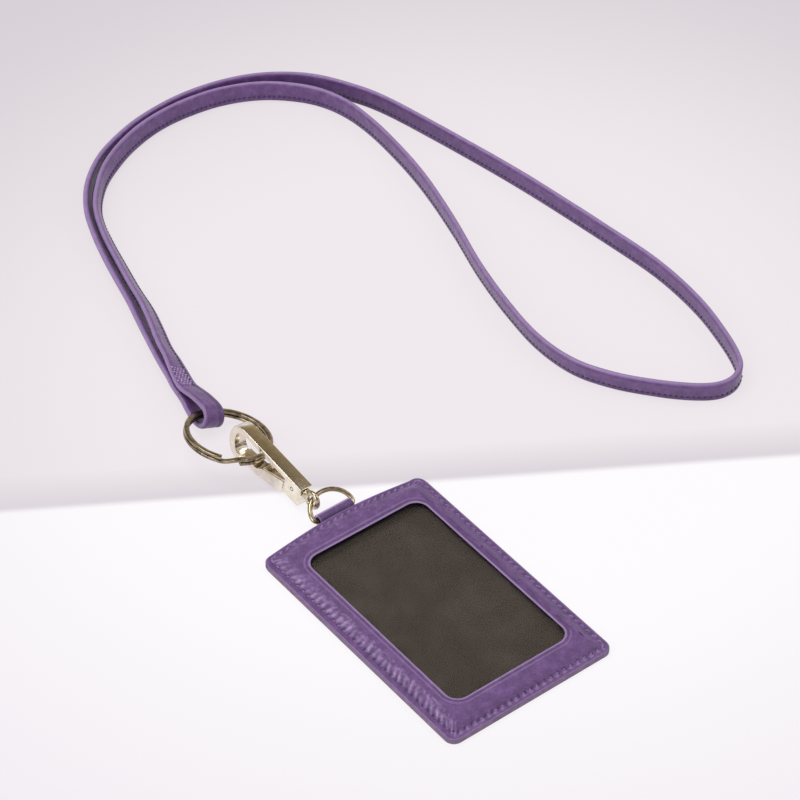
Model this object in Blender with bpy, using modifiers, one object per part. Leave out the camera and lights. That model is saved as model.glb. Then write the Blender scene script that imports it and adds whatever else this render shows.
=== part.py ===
"""A leather card holder on a neck lanyard.

The holder lies on its back with its window up: +X is across it, +Y runs to the strap, and the
origin is under its middle, on the surface it lies on. A folded tab holds a D ring, the D ring holds
a swivelling trigger hook, the hook holds a split ring, and the strap folds round the split ring.
All lengths are in metres.
"""

import math

import bmesh
import bpy
from mathutils import Euler, Matrix, Vector

# Holder
HOLDER_WIDTH = 0.0700
HOLDER_LENGTH = 0.1070
HOLDER_CORNER = 0.0050
BACK_THICKNESS = 0.0010
LEATHER = 0.0009
SEAM_GAP = 0.0003
PANEL_EDGE_ROUNDING = 0.0002
LINING_THICKNESS = 0.0003
LINING_INSET = 0.0050
LINING_MOUTH_INSET = 0.0073
LINING_CORNER = 0.0015
POCKET_DEPTH = 0.0010
FILM_THICKNESS = 0.0003
FILM_INSET = 0.0069
FILM_CORNER = 0.0025

# Front panel: it rises from the seam to the window's lip, and its mouth edge bows up
BORDER_AT_SIDES = 0.0098
BORDER_AT_ENDS = 0.0115
WINDOW_CORNER = 0.0050
WINDOW_X = 0.0010
WINDOW_Y = 0.0006
RISE_WIDTH = 0.0065
LIP_WIDTH = 0.0020
LIP_RELIEF = 0.0003
MOUTH_RISE = 0.0031
MOUTH_HALF_WIDTH = 0.0310
MOUTH_FADE = 0.0105
RISE_SHARES = ((0.0, 0.0), (0.16, 0.05), (0.31, 0.0), (0.50, 0.14), (0.68, 0.52), (0.84, 0.88), (1.0, 1.0))
LIP_SHARES = ((1.0, -0.4), (0.7, 0.3), (0.3, 0.5), (0.0, 0.0))
CORNER_STEPS = 5
SIDE_STEPS = 9

# Tab and D ring
TAB_X = -0.0010
TAB_WIDTH = 0.0146
TAB_THICKNESS = 0.0009
TAB_PLY_GAP = 0.0003
TAB_TAIL = 0.0065
BAR_OUTSIDE = 0.0024
BAR_HEIGHT = 0.0030
TAB_LOOP_TURN = math.radians(125)
TAB_LOOP_STEPS = 10
D_WIRE_RADIUS = 0.0009
D_CLEARANCE = 0.0003
D_HALF_WIDTH = 0.0086
D_CORNER = 0.0016
D_BOW = 0.0075
D_TILT = math.radians(27.0)
D_BOW_STEPS = 20
D_CORNER_STEPS = 4

# Trigger hook: its own frame has x across it, y along the spine and z up out of the spine's back
HOOK_FROM_BAR = (-0.00535, 0.04309, 0.01208)
HOOK_TURN = (math.radians(9.4), math.radians(8.1), math.radians(1.7))
HOOK_WIDTH = 0.0053
HOOK_EDGE = 0.0004
SPINE_LENGTH = 0.0330
SPINE_THICKNESS = 0.0022
BASE_LENGTH = 0.0086
BASE_DEPTH = 0.0081
CLAW_REACH = 0.0064
CLAW_DEPTH = 0.0151
CLAW_OUTER_SHARES = (
    (0.0, 0.0),
    (0.47, 0.04),
    (0.82, 0.17),
    (1.0, 0.39),
    (0.97, 0.64),
    (0.70, 0.87),
    (0.25, 0.99),
    (-0.20, 0.985),
)
CLAW_INNER_SHARES = (
    (-0.33, 0.83),
    (0.08, 0.82),
    (0.38, 0.71),
    (0.54, 0.50),
    (0.48, 0.30),
    (0.22, 0.175),
    (-0.25, 0.141),
)
CLAW_STEPS = 2
CHEEK_WALL = 0.0008
RUN_GAP = 0.0003
END_WALL = 0.0014
SLOT_ROOF = 0.0013

# Swivel eye: a ring, a collar, and a headed shank that turns in the hook's base
EYE_RADIUS = 0.00275
EYE_WIRE_RADIUS = 0.00095
SHANK_DEPTH = 0.0024
COLLAR_RADIUS = 0.0019
COLLAR_LENGTH = 0.0010
SHANK_RADIUS = 0.0008
HEAD_RADIUS = 0.0014
HEAD_LENGTH = 0.0007
EYE_SEGMENTS = 28
EYE_WIRE_SEGMENTS = 10
TURNED_STEPS = 20

# Gate lever, its pin and its torsion spring
PIN_FROM_BASE = 0.0044
PIN_DEPTH = 0.0033
PIN_RADIUS = 0.0006
HUB_RADIUS = 0.0015
GATE_FLOOR = 0.0013
GATE_WALL = 0.0009
FORK_GAP = 0.0021
TONGUE_LENGTH = 0.0090
GATE_TOP_SHARES = (
    (268 / 286, 36 / 151),
    (228 / 286, 44 / 151),
    (167 / 286, 66 / 151),
    (123 / 286, 82 / 151),
    (100 / 286, 101 / 151),
    (62 / 286, 106 / 151),
    (30 / 286, 111 / 151),
    (6 / 286, 112 / 151),
)
GATE_NOSE_SHARES = ((6 / 286, 120 / 151), (46 / 286, 124 / 151))
GATE_BOTTOM_SHARES = ((112 / 286, 127 / 151), (205 / 286, 104 / 151), (288 / 286, 80 / 151))
THUMB_RIDGES = 5
THUMB_RIDGE_DEPTH = 0.0004
RIDGE_SHARES = (0.3, 0.6, 0.9)
HUB_START = math.radians(250)
HUB_END = math.radians(60)
HUB_STEPS = 8
CHANNEL_SHARES = (228 / 286, 125 / 286)
SPRING_WIRE = 0.00035
SPRING_COIL_RADIUS = 0.00105
SPRING_PITCH = 0.0008
SPRING_TURNS = 1.5
SPRING_TURN_STEPS = 10
SPRING_START = math.radians(82)
SPRING_LEG_REACH = 0.0068

# Split ring: a flat wire of nearly two turns, with one step up from the lower turn to the upper
RING_FROM_NOSE = (-0.00365, 0.00891, -0.00858)
RING_LEAN = math.radians(16.5)
RING_RADIUS = 0.01544
RING_WIRE_WIDTH = 0.0020
RING_WIRE_HEIGHT = 0.00125
RING_WIRE_EDGE = 0.0003
RING_LAYER_GAP = 0.0003
RING_END = math.radians(224)
RING_STEP = math.radians(26)
RING_SEAT = math.radians(277)
RING_STEPS_A_TURN = 36

# Strap: two plies folded and sewn, laid as one loop, with its fold round the split ring
STRAP_WIDTH = 0.0086
STRAP_THICKNESS = 0.0020
STRAP_FOLD_THICKNESS = 0.0023
STRAP_SHOULDER_SHARE = 0.5
STRAP_ROUNDING_SHARE = 0.85
FOLD_AROUND = math.radians(86)
FOLD_ROLL = math.radians(7)
FOLD_STEPS = 2
FOLD_THROAT = 0.0132
FOLD_DEPTH = 0.0038
FOLD_PATH_SHARES = (
    (132 / 132, 21 / 38),
    (100 / 132, 27 / 38),
    (65 / 132, 33 / 38),
    (30 / 132, 36 / 38),
    (4 / 132, 37 / 38),
    (-20 / 132, 35 / 38),
    (-36 / 132, 28 / 38),
    (-47 / 132, 16 / 38),
    (-52 / 132, 1 / 38),
    (-50 / 132, -13 / 38),
    (-41 / 132, -26 / 38),
    (-24 / 132, -35 / 38),
    (2 / 132, -38 / 38),
    (32 / 132, -34 / 38),
    (70 / 132, -23 / 38),
    (100 / 132, -13 / 38),
    (132 / 132, -6 / 38),
)
STRAP_STEP = 0.0180
STRAP_BEND = math.radians(12)
STRAP_SPAN_STEPS = 6

# The strap's route: x, y, height of its middle, and its lean to the right of its run in degrees.
# It leaves the fold's upper end, runs once round the loop, and comes back to the fold's lower end.
STRAP_ROUTE = (
    (-0.0072, 0.1368, 0.0078, -64),
    (-0.0071, 0.1379, 0.0078, -64),
    (-0.0060, 0.1420, 0.0072, -60),
    (-0.0041, 0.1481, 0.0069, -55),
    (-0.0018, 0.1555, 0.0066, -47),
    (0.0003, 0.1635, 0.0063, -41),
    (0.0042, 0.1745, 0.0059, -38),
    (0.0080, 0.1862, 0.0054, -36),
    (0.0111, 0.1983, 0.0050, -33),
    (0.0145, 0.2102, 0.0047, -31),
    (0.0178, 0.2221, 0.0046, -28),
    (0.0204, 0.2306, 0.0046, -22),
    (0.0234, 0.2390, 0.0046, -15),
    (0.0270, 0.2465, 0.00455, -10),
    (0.0321, 0.2540, 0.00455, -8),
    (0.0390, 0.2609, 0.00455, -9),
    (0.0470, 0.2665, 0.0046, -12),
    (0.0580, 0.2722, 0.00455, -10),
    (0.0700, 0.2762, 0.00455, -8),
    (0.0820, 0.2779, 0.00455, -6),
    (0.0950, 0.2775, 0.00455, -6),
    (0.1070, 0.2752, 0.00455, -6),
    (0.1190, 0.2700, 0.00455, -6),
    (0.1290, 0.2622, 0.00455, -5),
    (0.1370, 0.2520, 0.0045, -4),
    (0.1414, 0.2400, 0.0045, -2),
    (0.1426, 0.2270, 0.0045, 0),
    (0.1415, 0.2080, 0.0045, 0),
    (0.1375, 0.1820, 0.0045, 0),
    (0.1298, 0.1530, 0.0045, 3),
    (0.1211, 0.1256, 0.00455, 6),
    (0.1154, 0.1011, 0.00455, 8),
    (0.1126, 0.0800, 0.00455, 9),
    (0.1144, 0.0618, 0.00455, 9),
    (0.1212, 0.0472, 0.00455, 9),
    (0.1305, 0.0346, 0.00455, 8),
    (0.1397, 0.0249, 0.00455, 7),
    (0.1473, 0.0197, 0.00455, 5),
    (0.1540, 0.0189, 0.0045, 3),
    (0.1600, 0.0215, 0.0045, 0),
    (0.1640, 0.0270, 0.0045, 0),
    (0.1685, 0.0390, 0.0045, 0),
    (0.1735, 0.0590, 0.0045, 0),
    (0.1756, 0.0850, 0.0045, 0),
    (0.1735, 0.1130, 0.0045, 0),
    (0.1690, 0.1550, 0.0045, 0),
    (0.1630, 0.1930, 0.0045, 0),
    (0.1560, 0.2285, 0.0045, 1),
    (0.1500, 0.2450, 0.0045, 3),
    (0.1410, 0.2600, 0.00455, 5),
    (0.1300, 0.2700, 0.00455, 6),
    (0.1170, 0.2770, 0.00455, 6),
    (0.1020, 0.2808, 0.00455, 6),
    (0.0870, 0.2817, 0.00455, 6),
    (0.0710, 0.2800, 0.00455, 5),
    (0.0580, 0.2763, 0.0045, 4),
    (0.0455, 0.2708, 0.0045, 3),
    (0.0362, 0.2642, 0.0045, 3),
    (0.0292, 0.2567, 0.0046, 11),
    (0.0240, 0.2489, 0.0046, 18),
    (0.0204, 0.2418, 0.00455, 24),
    (0.0174, 0.2337, 0.00445, 29),
    (0.0147, 0.2254, 0.00435, 33),
    (0.0113, 0.2138, 0.0043, 35),
    (0.0083, 0.2020, 0.0043, 37),
    (0.0053, 0.1902, 0.0043, 38),
    (0.0019, 0.1789, 0.0043, 39),
    (-0.0013, 0.1677, 0.0043, 41),
    (-0.0041, 0.1567, 0.0044, 46),
    (-0.0052, 0.1519, 0.0045, 49),
    (-0.0062, 0.1470, 0.0046, 53),
    (-0.0074, 0.1422, 0.00475, 57),
    (-0.0082, 0.1380, 0.0054, 64),
    (-0.0083, 0.1368, 0.0054, 64),
)

# Places worked out from the sizes above
FRONT_EDGE = HOLDER_LENGTH / 2
WINDOW_WIDTH = HOLDER_WIDTH - 2 * BORDER_AT_SIDES
WINDOW_LENGTH = HOLDER_LENGTH - 2 * BORDER_AT_ENDS
BACK_TOP = BACK_THICKNESS
SEAM_TOP = BACK_TOP + SEAM_GAP + LEATHER
LINING_BOTTOM = BACK_TOP + SEAM_GAP
FILM_BOTTOM = LINING_BOTTOM + LINING_THICKNESS + POCKET_DEPTH
WINDOW_TOP = FILM_BOTTOM + FILM_THICKNESS + SEAM_GAP + LEATHER
BAR_Y = FRONT_EDGE + BAR_OUTSIDE
SLOT_WIDTH = HOOK_WIDTH - 2 * CHEEK_WALL
TONGUE_WIDTH = SLOT_WIDTH - 2 * RUN_GAP
PIN_Y = -SPINE_LENGTH + PIN_FROM_BASE
CHANNEL_BACK, CHANNEL_FRONT = (share * PIN_Y for share in CHANNEL_SHARES)
COLLAR_TOP = -SPINE_LENGTH - RUN_GAP
EYE_Y = COLLAR_TOP - EYE_RADIUS - EYE_WIRE_RADIUS
RING_LAYER = RING_WIRE_HEIGHT + RING_LAYER_GAP
OVERRUN = 0.001

# A flat outline is drawn in X and Y. This turns its X along the hook and its Y up from the spine.
SIDE_ON = Matrix(((0, 0, 1), (1, 0, 0), (0, 1, 0))).to_4x4()


def hex_colour(code):
    """Linear colour of a six-digit sRGB code."""
    channels = [int(code[i : i + 2], 16) / 255 for i in (0, 2, 4)]
    linear = [c / 12.92 if c <= 0.04045 else ((c + 0.055) / 1.055) ** 2.4 for c in channels]
    return (*linear, 1.0)


def material(name, code, roughness, metallic=0.0, alpha=1.0):
    made = bpy.data.materials.new(name)
    made.use_nodes = True
    shader = made.node_tree.nodes["Principled BSDF"]
    shader.inputs["Base Color"].default_value = hex_colour(code)
    shader.inputs["Roughness"].default_value = roughness
    shader.inputs["Metallic"].default_value = metallic
    shader.inputs["Alpha"].default_value = alpha
    return made


def smooth_through(points, steps):
    """Points of a smooth curve through the given ones, with this many steps to each span."""
    knots = [Vector(p) for p in points]
    knots = [2 * knots[0] - knots[1], *knots, 2 * knots[-1] - knots[-2]]
    curve = []
    for before, start, end, after in zip(knots, knots[1:], knots[2:], knots[3:]):
        for i in range(steps):
            t = i / steps
            curve.append(
                0.5
                * (
                    2 * start
                    + (end - before) * t
                    + (2 * before - 5 * start + 4 * end - after) * t**2
                    + (3 * start - before - 3 * end + after) * t**3
                )
            )
    return [*curve, knots[-2]]


def arc(centre, radius, start, end, steps):
    """Points on an arc in a plane, from one angle to another."""
    angles = [start + (end - start) * i / steps for i in range(steps + 1)]
    return [(centre[0] + radius * math.cos(a), centre[1] + radius * math.sin(a)) for a in angles]


def rounded_rectangle(width, length, radius, centre=(0, 0), side_steps=1):
    """Anticlockwise outline of a rectangle with round corners, from its right side's lower end."""
    corners = []
    for quarter, (x, y) in enumerate(((1, 1), (-1, 1), (-1, -1), (1, -1))):
        middle = (centre[0] + x * (width / 2 - radius), centre[1] + y * (length / 2 - radius))
        start = quarter * math.pi / 2
        corners.append(arc(middle, radius, start, start + math.pi / 2, CORNER_STEPS))
    outline = []
    for corner, following in zip(corners, corners[1:] + corners[:1]):
        outline += corner
        end, start = Vector(corner[-1]), Vector(following[0])
        outline += [tuple(end.lerp(start, i / side_steps)) for i in range(1, side_steps)]
    return outline


def put(name, mesh, finish, collection, frame=None):
    """Links a mesh as a named object, placed in the world by its frame."""
    made = bpy.data.objects.new(name, mesh)
    made.data.materials.clear()
    made.data.materials.append(finish)
    if frame is not None:
        made.matrix_world = frame
    collection.objects.link(made)
    return made


def smooth_shading(target, sharp=math.radians(35)):
    target.data.shade_smooth()
    target.data.set_sharp_from_angle(angle=sharp)


def mesh_of_curve(curve):
    """Closed mesh of a curve's evaluated solid."""
    holder = bpy.data.objects.new(curve.name, curve)
    bpy.context.scene.collection.objects.link(holder)
    graph = bpy.context.evaluated_depsgraph_get()
    mesh = bpy.data.meshes.new_from_object(holder.evaluated_get(graph))
    bpy.data.objects.remove(holder)
    bm = bmesh.new()
    bm.from_mesh(mesh)
    bmesh.ops.remove_doubles(bm, verts=bm.verts, dist=1e-6)
    bmesh.ops.recalc_face_normals(bm, faces=bm.faces)
    bm.to_mesh(mesh)
    bm.free()
    return mesh


def flat_solid(name, outline, thickness):
    """Mesh of an outline in X and Y, as thick to both sides of z = 0."""
    curve = bpy.data.curves.new(name, "CURVE")
    curve.dimensions = "2D"
    curve.fill_mode = "BOTH"
    curve.extrude = thickness / 2
    spline = curve.splines.new("POLY")
    spline.points.add(len(outline) - 1)
    for point, place in zip(spline.points, outline):
        point.co = (place[0], place[1], 0, 1)
    spline.use_cyclic_u = True
    return mesh_of_curve(curve)


def wire(name, points, radius, closed=False, resolution=2):
    """Mesh of a round wire along the points."""
    curve = bpy.data.curves.new(name, "CURVE")
    curve.dimensions = "3D"
    curve.bevel_depth = radius
    curve.bevel_resolution = resolution
    curve.use_fill_caps = not closed
    spline = curve.splines.new("POLY")
    spline.points.add(len(points) - 1)
    for point, place in zip(spline.points, points):
        point.co = (*place, 1)
    spline.use_cyclic_u = closed
    return mesh_of_curve(curve)


def strip(name, points, leans, profile):
    """Mesh of a flat strip along the points: the profile's Y stands up, and each lean tips it right."""
    section = bpy.data.curves.new(name + " section", "CURVE")
    section.dimensions = "2D"
    outline = section.splines.new("POLY")
    outline.points.add(len(profile) - 1)
    for point, place in zip(outline.points, profile):
        point.co = (*place, 0, 1)
    outline.use_cyclic_u = True
    section_holder = bpy.data.objects.new(section.name, section)
    curve = bpy.data.curves.new(name, "CURVE")
    curve.dimensions = "3D"
    curve.twist_mode = "Z_UP"
    curve.bevel_mode = "OBJECT"
    curve.bevel_object = section_holder
    curve.use_fill_caps = True
    spline = curve.splines.new("POLY")
    spline.points.add(len(points) - 1)
    for point, place, lean in zip(spline.points, points, leans):
        point.co = (*place, 1)
        point.tilt = lean
    mesh = mesh_of_curve(curve)
    bpy.data.objects.remove(section_holder)
    return mesh


def box(name, low, high, frame, collection):
    """Cutter box between two corners of a frame."""
    bm = bmesh.new()
    bmesh.ops.create_cube(bm, size=1)
    size = Vector(high) - Vector(low)
    bmesh.ops.scale(bm, verts=bm.verts, vec=size)
    bmesh.ops.translate(bm, verts=bm.verts, vec=(Vector(low) + Vector(high)) / 2)
    return cutter(name, bm, frame, collection)


def rod(name, start, end, radius, frame, collection, segments=16):
    """Cutter cylinder from one point of a frame to another."""
    bm = bmesh.new()
    run = Vector(end) - Vector(start)
    turn = run.to_track_quat("Z", "Y").to_matrix().to_4x4()
    place = Matrix.Translation((Vector(start) + Vector(end)) / 2) @ turn
    bmesh.ops.create_cone(
        bm, cap_ends=True, segments=segments, radius1=radius, radius2=radius, depth=run.length, matrix=place
    )
    return cutter(name, bm, frame, collection)


def cutter(name, bm, frame, collection):
    mesh = bpy.data.meshes.new(name)
    bm.to_mesh(mesh)
    bm.free()
    made = bpy.data.objects.new(name, mesh)
    made.matrix_world = frame
    made.hide_render = True
    made.display_type = "WIRE"
    collection.objects.link(made)
    return made


def bevel(target, width, segments=2):
    weld = target.modifiers.new("Weld", "WELD")
    weld.merge_threshold = 1e-6
    edges = target.modifiers.new("Rounded edges", "BEVEL")
    edges.width = width
    edges.segments = segments
    edges.limit_method = "ANGLE"
    edges.angle_limit = math.radians(50)


def boolean(target, other, operation="DIFFERENCE"):
    made = target.modifiers.new(other.name, "BOOLEAN")
    made.operation = operation
    made.object = other


def thicken(target, thickness, offset):
    made = target.modifiers.new("Thickness", "SOLIDIFY")
    made.thickness = thickness
    made.offset = offset
    made.use_even_offset = True


def moved(place, by):
    """The place that lies `by` from another."""
    return tuple(start + step for start, step in zip(place, by, strict=True))


def joint_frame(name, place, collection, turn=None, parent=None):
    """Empty on a joint's axis. The pieces that the joint moves hang from it."""
    made = bpy.data.objects.new(name, None)
    made.empty_display_size = HOOK_WIDTH
    made.matrix_world = Matrix.Translation(place) @ (turn or Matrix.Identity(4))
    collection.objects.link(made)
    if parent:
        hang(made, parent)
    return made


def hang(child, parent):
    world = child.matrix_world.copy()
    child.parent = parent
    child.matrix_parent_inverse = parent.matrix_world.inverted()
    child.matrix_world = world


def plate(name, width, length, corner, bottom, thickness, centre, finish, parts):
    outline = rounded_rectangle(width, length, corner, centre)
    frame = Matrix.Translation((0, 0, bottom + thickness / 2))
    return put(name, flat_solid(name, outline, thickness), finish, parts, frame)


def mouth_bow(x, y):
    """How far the pocket's mouth lifts the front panel at a point."""
    across = min(abs(x - TAB_X) / MOUTH_HALF_WIDTH, 1)
    along = max((y - FRONT_EDGE + MOUTH_FADE) / MOUTH_FADE, 0)
    return MOUTH_RISE * math.cos(across * math.pi / 2) * along**2 * (3 - 2 * along)


def build_front_panel(finish, parts):
    """Frame of leather round the window, thickened down from its upper face."""
    rings = []
    for inset_share, rise_share in RISE_SHARES:
        inset = inset_share * RISE_WIDTH
        corner = max(HOLDER_CORNER - inset, LIP_WIDTH)
        outline = rounded_rectangle(
            HOLDER_WIDTH - 2 * inset, HOLDER_LENGTH - 2 * inset, corner, side_steps=SIDE_STEPS
        )
        rings.append((outline, SEAM_TOP + rise_share * (WINDOW_TOP - SEAM_TOP)))
    for outset_share, relief_share in LIP_SHARES:
        outset = outset_share * LIP_WIDTH
        outline = rounded_rectangle(
            WINDOW_WIDTH + 2 * outset,
            WINDOW_LENGTH + 2 * outset,
            WINDOW_CORNER + outset,
            (WINDOW_X, WINDOW_Y),
            SIDE_STEPS,
        )
        rings.append((outline, WINDOW_TOP + relief_share * LIP_RELIEF))
    bm = bmesh.new()
    loops = [[bm.verts.new((x, y, height + mouth_bow(x, y))) for x, y in ring] for ring, height in rings]
    for outer, inner in zip(loops, loops[1:]):
        for i, corner in enumerate(outer):
            j = (i + 1) % len(outer)
            bm.faces.new((corner, outer[j], inner[j], inner[i]))
    mesh = bpy.data.meshes.new("front_panel")
    bm.to_mesh(mesh)
    bm.free()
    panel = put("front_panel", mesh, finish, parts)
    thicken(panel, LEATHER, -1)
    smooth_shading(panel)
    return panel


def build_holder(finishes, parts):
    back = plate(
        "back_panel", HOLDER_WIDTH, HOLDER_LENGTH, HOLDER_CORNER, 0, BACK_THICKNESS, (0, 0), finishes["leather"], parts
    )
    bevel(back, PANEL_EDGE_ROUNDING)
    lining_length = HOLDER_LENGTH - LINING_INSET - LINING_MOUTH_INSET
    plate(
        "pocket_lining",
        HOLDER_WIDTH - 2 * LINING_INSET,
        lining_length,
        LINING_CORNER,
        LINING_BOTTOM,
        LINING_THICKNESS,
        (0, (LINING_INSET - LINING_MOUTH_INSET) / 2),
        finishes["lining"],
        parts,
    )
    plate(
        "window_film",
        HOLDER_WIDTH - 2 * FILM_INSET,
        HOLDER_LENGTH - 2 * FILM_INSET,
        FILM_CORNER,
        FILM_BOTTOM,
        FILM_THICKNESS,
        (0, 0),
        finishes["film"],
        parts,
    )
    build_front_panel(finishes["leather"], parts)


def build_tab(finish, parts):
    """Leather strap folded round the D ring's bar, its two plies held between the panels."""
    loop_radius = D_WIRE_RADIUS + D_CLEARANCE + TAB_THICKNESS / 2
    lower = SEAM_GAP + BACK_TOP + TAB_THICKNESS / 2
    upper = lower + TAB_THICKNESS + TAB_PLY_GAP
    tail_y = FRONT_EDGE - TAB_TAIL
    loop = arc((BAR_Y, BAR_HEIGHT), loop_radius, -TAB_LOOP_TURN, TAB_LOOP_TURN, TAB_LOOP_STEPS)
    path = [(tail_y, lower), (FRONT_EDGE + SEAM_GAP, lower), *loop, (FRONT_EDGE - SEAM_GAP, upper), (tail_y, upper)]
    bm = bmesh.new()
    sides = [[bm.verts.new((TAB_X + side * TAB_WIDTH / 2, y, z)) for y, z in path] for side in (-1, 1)]
    for i in range(len(path) - 1):
        bm.faces.new((sides[0][i], sides[1][i], sides[1][i + 1], sides[0][i + 1]))
    mesh = bpy.data.meshes.new("ring_tab")
    bm.to_mesh(mesh)
    bm.free()
    tab = put("ring_tab", mesh, finish, parts)
    thicken(tab, TAB_THICKNESS, 0)
    smooth_shading(tab)
    return tab


def d_ring_bow(angle):
    """Point of the D ring's bow in its own plane: x across, y out from the bar."""
    return (D_HALF_WIDTH * math.cos(angle), D_CORNER + D_BOW * math.sin(angle), 0)


def build_d_ring(finish, parts):
    corner_x = D_HALF_WIDTH - D_CORNER
    right = arc((corner_x, D_CORNER), D_CORNER, -math.pi / 2, 0, D_CORNER_STEPS)
    left = arc((-corner_x, D_CORNER), D_CORNER, math.pi, 1.5 * math.pi, D_CORNER_STEPS)
    bow = [d_ring_bow(math.pi * i / D_BOW_STEPS) for i in range(1, D_BOW_STEPS)]
    path = [(x, y, 0) for x, y in right] + bow + [(x, y, 0) for x, y in left]
    frame = Matrix.Translation((TAB_X, BAR_Y, BAR_HEIGHT)) @ Matrix.Rotation(D_TILT, 4, "X")
    ring = put("d_ring", wire("d_ring", path, D_WIRE_RADIUS, closed=True), finish, parts, frame)
    smooth_shading(ring)
    return ring


def build_swivel_eye(finish, hook, parts, cutters):
    """Turned collar and headed shank, joined to a ring that stands in the hook's plane."""
    ring_rim = COLLAR_TOP - COLLAR_LENGTH
    wall_end = -SPINE_LENGTH + END_WALL
    head_end = wall_end + RUN_GAP + HEAD_LENGTH
    profile = (
        (0, head_end),
        (HEAD_RADIUS, head_end),
        (HEAD_RADIUS, wall_end + RUN_GAP),
        (SHANK_RADIUS, wall_end + RUN_GAP),
        (SHANK_RADIUS, COLLAR_TOP),
        (COLLAR_RADIUS, COLLAR_TOP),
        (COLLAR_RADIUS, ring_rim),
        (0, ring_rim),
    )
    bm = bmesh.new()
    verts = [bm.verts.new((radius, 0, height)) for radius, height in profile]
    for pair in zip(verts, verts[1:]):
        bm.edges.new(pair)
    mesh = bpy.data.meshes.new("swivel_eye")
    bm.to_mesh(mesh)
    bm.free()
    along_hook = Matrix.Translation((0, 0, -SHANK_DEPTH)) @ Matrix.Rotation(-math.pi / 2, 4, "X")
    eye = put("swivel_eye", mesh, finish, parts, hook @ along_hook)
    turned = eye.modifiers.new("Turned", "SCREW")
    turned.steps = TURNED_STEPS
    turned.render_steps = TURNED_STEPS
    turned.use_merge_vertices = True
    turned.merge_threshold = 1e-5
    bpy.ops.mesh.primitive_torus_add(
        major_radius=EYE_RADIUS,
        minor_radius=EYE_WIRE_RADIUS,
        major_segments=EYE_SEGMENTS,
        minor_segments=EYE_WIRE_SEGMENTS,
    )
    ring = bpy.context.object
    ring.name = "eye ring"
    ring.matrix_world = hook @ Matrix.Translation((0, EYE_Y, -SHANK_DEPTH)) @ Matrix.Rotation(math.pi / 2, 4, "Y")
    for collection in list(ring.users_collection):
        collection.objects.unlink(ring)
    cutters.objects.link(ring)
    ring.hide_render = True
    ring.display_type = "WIRE"
    boolean(eye, ring, "UNION")
    smooth_shading(eye)
    return eye


def side_cutter(name, outline, width, hook, cutters):
    """Cutter across the hook, from an outline in its side view."""
    made = bpy.data.objects.new(name, flat_solid(name, outline, width))
    made.matrix_world = hook @ SIDE_ON
    made.hide_render = True
    made.display_type = "WIRE"
    cutters.objects.link(made)
    return made


def claw_points(shares):
    """The claw's edge in the hook's side view: x along the spine and y up out of its back."""
    places = [(along * CLAW_REACH, -down * CLAW_DEPTH, 0) for along, down in shares]
    return [(p.x, p.y) for p in smooth_through(places, CLAW_STEPS)]


def build_hook_body(finish, hook, parts, cutters):
    """Spine, claw and slotted base in one casting."""
    base_front = -SPINE_LENGTH + BASE_LENGTH
    outline = [
        (-SPINE_LENGTH, 0),
        (-SPINE_LENGTH, -BASE_DEPTH),
        (base_front, -BASE_DEPTH),
        (base_front, -SPINE_THICKNESS),
        *reversed(claw_points(CLAW_INNER_SHARES)),
        *reversed(claw_points(CLAW_OUTER_SHARES)),
    ]
    body = put("hook_body", flat_solid("hook_body", outline, HOOK_WIDTH), finish, parts, hook @ SIDE_ON)
    bevel(body, HOOK_EDGE)
    wall_end = -SPINE_LENGTH + END_WALL
    pin_hole = ((-HOOK_WIDTH, PIN_Y, -PIN_DEPTH), (HOOK_WIDTH, PIN_Y, -PIN_DEPTH))
    boolean(body, rod("pin hole", *pin_hole, PIN_RADIUS + RUN_GAP, hook, cutters))
    bore = ((0, -SPINE_LENGTH - OVERRUN, -SHANK_DEPTH), (0, wall_end + RUN_GAP, -SHANK_DEPTH))
    boolean(body, rod("shank bore", *bore, SHANK_RADIUS + RUN_GAP, hook, cutters))
    head_end = wall_end + HEAD_LENGTH + 2 * RUN_GAP
    recess = ((0, wall_end + RUN_GAP / 2, -SHANK_DEPTH), (0, head_end, -SHANK_DEPTH))
    boolean(body, rod("head recess", *recess, HEAD_RADIUS + RUN_GAP, hook, cutters))
    slot_low = (-SLOT_WIDTH / 2, wall_end, -BASE_DEPTH - OVERRUN)
    slot_high = (SLOT_WIDTH / 2, base_front + OVERRUN, -SLOT_ROOF)
    boolean(body, box("gate slot", slot_low, slot_high, hook, cutters))
    smooth_shading(body)
    return body


def lever_points(shares):
    """Points of the lever in the hook's side view, from shares of its reach and of the claw's depth."""
    return [(along * PIN_Y, -down * CLAW_DEPTH) for along, down in shares]


def gate_floor(along):
    """Height of the channel's floor in the lever, over the straight part of its lower edge."""
    front, back = lever_points(GATE_BOTTOM_SHARES[:2])
    slope = (front[1] - back[1]) / (front[0] - back[0])
    return GATE_FLOOR + back[1] + slope * (along - back[0])


def gate_outline():
    """The lever's side view, from its hub along its upper edge to the nose and back underneath."""
    hub = arc((PIN_Y, -PIN_DEPTH), HUB_RADIUS, HUB_START, HUB_END, HUB_STEPS)
    nose = lever_points(GATE_NOSE_SHARES)
    lower = lever_points(GATE_BOTTOM_SHARES)
    ridges = []
    start, end = Vector(nose[-1]), Vector(lower[0])
    for i in range(THUMB_RIDGES):
        crest, after, valley = (start.lerp(end, (i + share) / THUMB_RIDGES) for share in RIDGE_SHARES)
        out = Vector((0, THUMB_RIDGE_DEPTH))
        ridges += [tuple(crest - out), tuple(after - out), tuple(valley)]
    return [*hub, *lever_points(GATE_TOP_SHARES), *nose, *ridges, *lower[1:]]


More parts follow.
